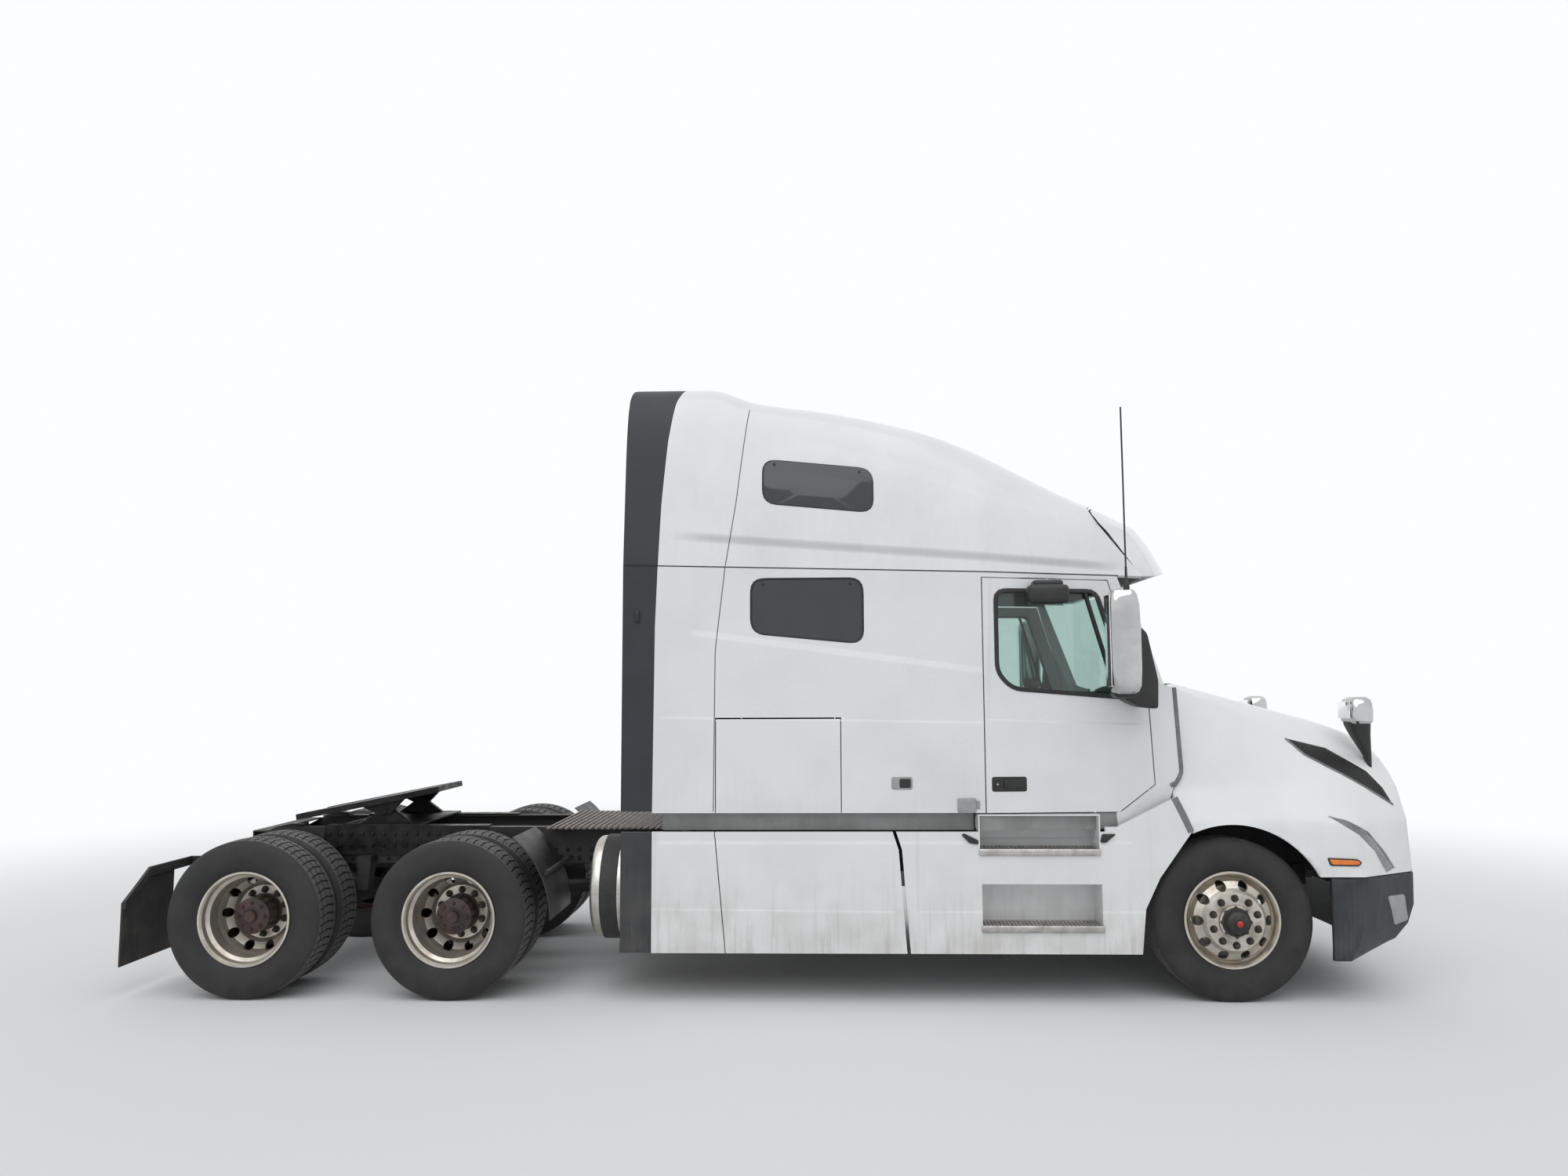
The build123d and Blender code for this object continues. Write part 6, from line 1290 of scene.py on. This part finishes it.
stepPadRear = [(1.580, 1.000), (1.672, 1.044), (1.690, 1.036), (1.640, 0.985), (1.585, 0.975)]
stepPadFront = [(0.726, 1.040), (0.812, 1.040), (0.826, 0.990), (0.790, 0.986)]
footOutline = [
    (0.352, 1.235), (0.324, 1.330), (0.335, 1.350), (0.440, 1.336), (0.668, 1.168), (0.700, 1.168),
    (0.690, 1.070), (0.560, 1.120),
]
sillOutline = [(0.600, 1.164), (0.580, 1.105), (0.700, 1.062), (1.597, 1.062), (1.597, 1.164)]
sideFittings = {
    "cabFeet": (paint["cab"], cabSkin, [(denser(footOutline, 0.03, True), -0.030, -0.001, 0.003)]),
    "sillPanels": (finish["recess"], sillSkin, [(denser(sillOutline, 0.03, True), -0.012, 0.0, 0.002)]),
    "sleeperLatches": (
        finish["greyCover"], cabSkin, [(boxOutline(1.989, 2.122, 1.316, 1.395, 0.016), -0.004, 0.005)],
    ),
    "latchPaddles": (
        finish["plastic"], cabSkin, [(boxOutline(2.000, 2.072, 1.326, 1.385, 0.012), 0.003, 0.0075)],
    ),
    "sillCovers": (finish["greyCover"], cabSkin, [
        (boxOutline(1.592, 1.708, 1.172, 1.262, 0.010), -0.004, 0.014, 0.006),
        (boxOutline(1.568, 1.592, 1.196, 1.246, 0.006), -0.004, 0.008, 0.003),
    ]),
    "stepPads": (finish["rubber"], skirtSkin, [
        (roundedOutline(stepPadRear, 0.010), -0.010, 0.014, 0.006),
        (roundedOutline(stepPadFront, 0.010), -0.010, 0.014, 0.006),
    ]),
}
for name, (material, skin, pads) in sideFittings.items():
    patches = sum([bothPads(outline, skin, *levels) for outline, *levels in pads], [])
    makePiece(name, patches, material, "chassis")

# step treads: serrated bars along the outer edge
treadPatches = []
for zTop, a1, a2 in ((0.9398, 0.838, 1.565), (0.4708, 0.828, 1.557)):
    bar = roundBox((0, 0, 0), (0.010, 0.165, 0.010), 0.003, 1)
    for a in np.arange(a1, a2, 0.0245):
        treadPatches.append((bar[0] + np.array([aft(a), 1.128, zTop + 0.003]), bar[1], bar[2]))
    lip = roundBox((aft((a1 + a2) / 2), 1.226, zTop - 0.012), (a2 - a1 + 0.03, 0.022, 0.044), 0.008)
    treadPatches.append(lip)
makePiece("stepTreads", mirrored(treadPatches), finish["stepMetal"], "chassis")

# door mirrors: chromed heads on a black arm, an aerial and a look-down mirror on the right
mirrorHead = stack([
    (1.912, -0.770, -0.668, 1.455, 1.565), (1.925, -0.792, -0.645, 1.442, 1.580),
    (1.960, -0.805, -0.630, 1.434, 1.588),
    (2.060, -0.811, -0.624, 1.431, 1.590), (2.300, -0.812, -0.623, 1.430, 1.590),
    (2.450, -0.809, -0.627, 1.431, 1.589),
    (2.515, -0.800, -0.640, 1.436, 1.583), (2.540, -0.786, -0.656, 1.445, 1.572),
    (2.550, -0.760, -0.680, 1.47, 1.55),
], 5.0, 48)
mirrorPane = roundBox((truck["steerX"] - 0.812, 1.510, 2.235), (0.006, 0.125, 0.560), 0.003)
armOutline = roundedOutline([
    (0.690, 1.878), (0.600, 1.832), (0.482, 1.818), (0.474, 1.994), (0.535, 2.290), (0.575, 2.330),
    (0.615, 2.250), (0.640, 1.960),
], 0.022)
def armSkin(a, z):
    return 1.240 + 0 * (a + z)


armFin = sidePad(armOutline, armSkin, 1, 0.0, 0.150, 0.020, 5)
armRoot = roundBox((aft(0.580), 1.190, 1.905), (0.130, 0.150, 0.105), 0.030)
armEnd = roundBox((aft(0.700), 1.415, 1.925), (0.150, 0.140, 0.075), 0.030)
mirrorPieces = {
    "mirrorArm": ([armFin, armRoot, armEnd], finish["plastic"]),
    "mirrorHead": ([mirrorHead], finish["chrome"]),
    "mirrorPane": ([mirrorPane], finish["mirrorFace"]),
}
for side, sign in sides:
    for name, (patches, material) in mirrorPieces.items():
        flipped = [(points * np.array([1, sign, 1]), u, v) for points, u, v in patches]
        piece = makePiece(f"{name}_{side}", flipped, material, f"door_{side}")
        if name == "mirrorArm":
            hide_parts(f"door_mirror_{side}")
aerial = tube([(aft(0.690), -1.510, z) for z in (2.53, 2.80, 3.20, 3.688)], 0.0055, 8)
aerialFoot = lathe(
    [(0.020, -0.015), (0.018, 0.030), (0.009, 0.055), (0.007, 0.140), (0, 0.142)], (aft(0.690), -1.510, 2.55),
    (0, 0, 1), 20,
)
makePiece("aerial", [aerial, aerialFoot], finish["plastic"], "door_right")
lookDown = [
    roundBox((aft(1.130), -1.303, 2.540), (0.258, 0.145, 0.118), 0.030),
    roundBox((aft(1.115), -1.235, 2.612), (0.190, 0.105, 0.046), 0.018),
]
lookDownPiece = makePiece("lookDownMirror", lookDown, finish["plastic"], "door_right")
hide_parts("look_down_mirror")
print("door mirrors made")

# lamps, mirrors on the hood
markerLamp = [(-0.584, 0.884), (-0.760, 0.876), (-0.779, 0.862), (-0.760, 0.849), (-0.600, 0.852)]
markerFrame = [(-0.574, 0.893), (-0.764, 0.884), (-0.790, 0.862), (-0.764, 0.840), (-0.590, 0.843)]
fogHousing = [(-0.985, 0.640), (-1.130, 0.640), (-1.170, 0.470), (-1.050, 0.450)]
lampPads = bothPads(roundedOutline(markerLamp, 0.010), hoodSkin, -0.004, 0.010, 0.005)
framePads = bothPads(roundedOutline(markerFrame, 0.012), hoodSkin, -0.006, 0.004, 0.003)
fogPads = bothPads(roundedOutline(fogHousing, 0.02), bumperSkin, -0.006, 0.004, 0.004)
makePiece("markerLamps", lampPads, finish["amber"], "hood")
makePiece("markerFrames", framePads, finish["plastic"], "hood")
makePiece("fogHousings", fogPads, finish["greyCover"], "chassis")

pedestal = stack([
    (1.42, 1.035, 1.062, 0.805, 0.845), (1.50, 1.020, 1.062, 0.790, 0.855),
    (1.56, 0.985, 1.061, 0.782, 0.865),
    (1.64, 0.935, 1.057, 0.775, 0.885), (1.70, 0.905, 1.053, 0.768, 0.910),
    (1.722, 0.902, 1.050, 0.765, 0.920),
], 3.0)
hoodMirrorHead = stack([
    (1.712, 0.915, 1.040, 0.765, 0.935), (1.728, 0.898, 1.050, 0.750, 0.950),
    (1.790, 0.893, 1.052, 0.744, 0.956),
    (1.840, 0.898, 1.050, 0.748, 0.950), (1.870, 0.912, 1.042, 0.762, 0.936),
    (1.886, 0.940, 1.020, 0.79, 0.91),
], 4.0)
hoodMirrors = makePiece("hoodMirrorFeet", mirrored([pedestal]), finish["plastic"], "hood")
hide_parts("hood_mirrors")
makePiece("hoodMirrorHeads", mirrored([hoodMirrorHead]), finish["chrome"], "hood")
hoodMirrorGlass = roundBox((truck["steerX"] + 0.892, 0.850, 1.800), (0.006, 0.165, 0.110), 0.003)
makePiece("hoodMirrorGlass", mirrored([hoodMirrorGlass]), finish["mirrorFace"], "hood")
ventLower = [(-0.483, 1.617), (-0.579, 1.511), (-0.852, 1.359), (-1.123, 1.194)]
ventTrims = bothStrips(ventLower, hoodSkin, halfRound(0.018, 0.007, -0.006), False, 0.02)
makePiece("ventTrims", ventTrims, finish["greyRubber"], "hood")
lampUpper = [(-0.613, 1.141), (-0.720, 1.116), (-0.862, 1.043), (-0.978, 0.921), (-1.059, 0.810)]
lampTrims = bothStrips(lampUpper, hoodSkin, halfRound(0.012, 0.005, -0.006), False, 0.02)
makePiece("lampTrims", lampTrims, finish["stepMetal"], "hood")
print("lamps and hood mirrors made")

# chassis fasteners and tank straps
boltSet = {"railY": 0.430, "angleY": 0.442, "railPitch": 0.085, "anglePitch": 0.078}
boltHead = lathe(
    [(0, -0.002), (0.014, -0.002), (0.014, 0.005), (0.011, 0.009), (0, 0.010)], (0, 0, 0), (0, 1, 0), 8,
)
railRun, angleRun = np.arange(4.10, 6.65, boltSet["railPitch"]), np.arange(4.96, 6.06, boltSet["anglePitch"])
bolts = copies(boltHead, [(aft(a), boltSet["railY"], z) for a in railRun for z in (0.775, 0.835)])
bolts += copies(boltHead, [(aft(a), boltSet["angleY"], z) for a in angleRun for z in (0.865, 0.945)])
makePiece("railBolts", mirrored(bolts), finish["greased"], "chassis")
strapProfile = [(0.3290, -0.036), (0.3340, -0.034), (0.3345, 0.034), (0.3290, 0.036)]
strap = lathe(strapProfile, (0, 0.855, 0.66), (1, 0, 0), 72)
straps = copies(strap, [(aft(a), 0, 0) for a in (2.60, 3.23, 3.905, 3.945)])
makePiece("tankStraps", mirrored(straps), finish["rubber"], "chassis")
print("chassis fasteners made")
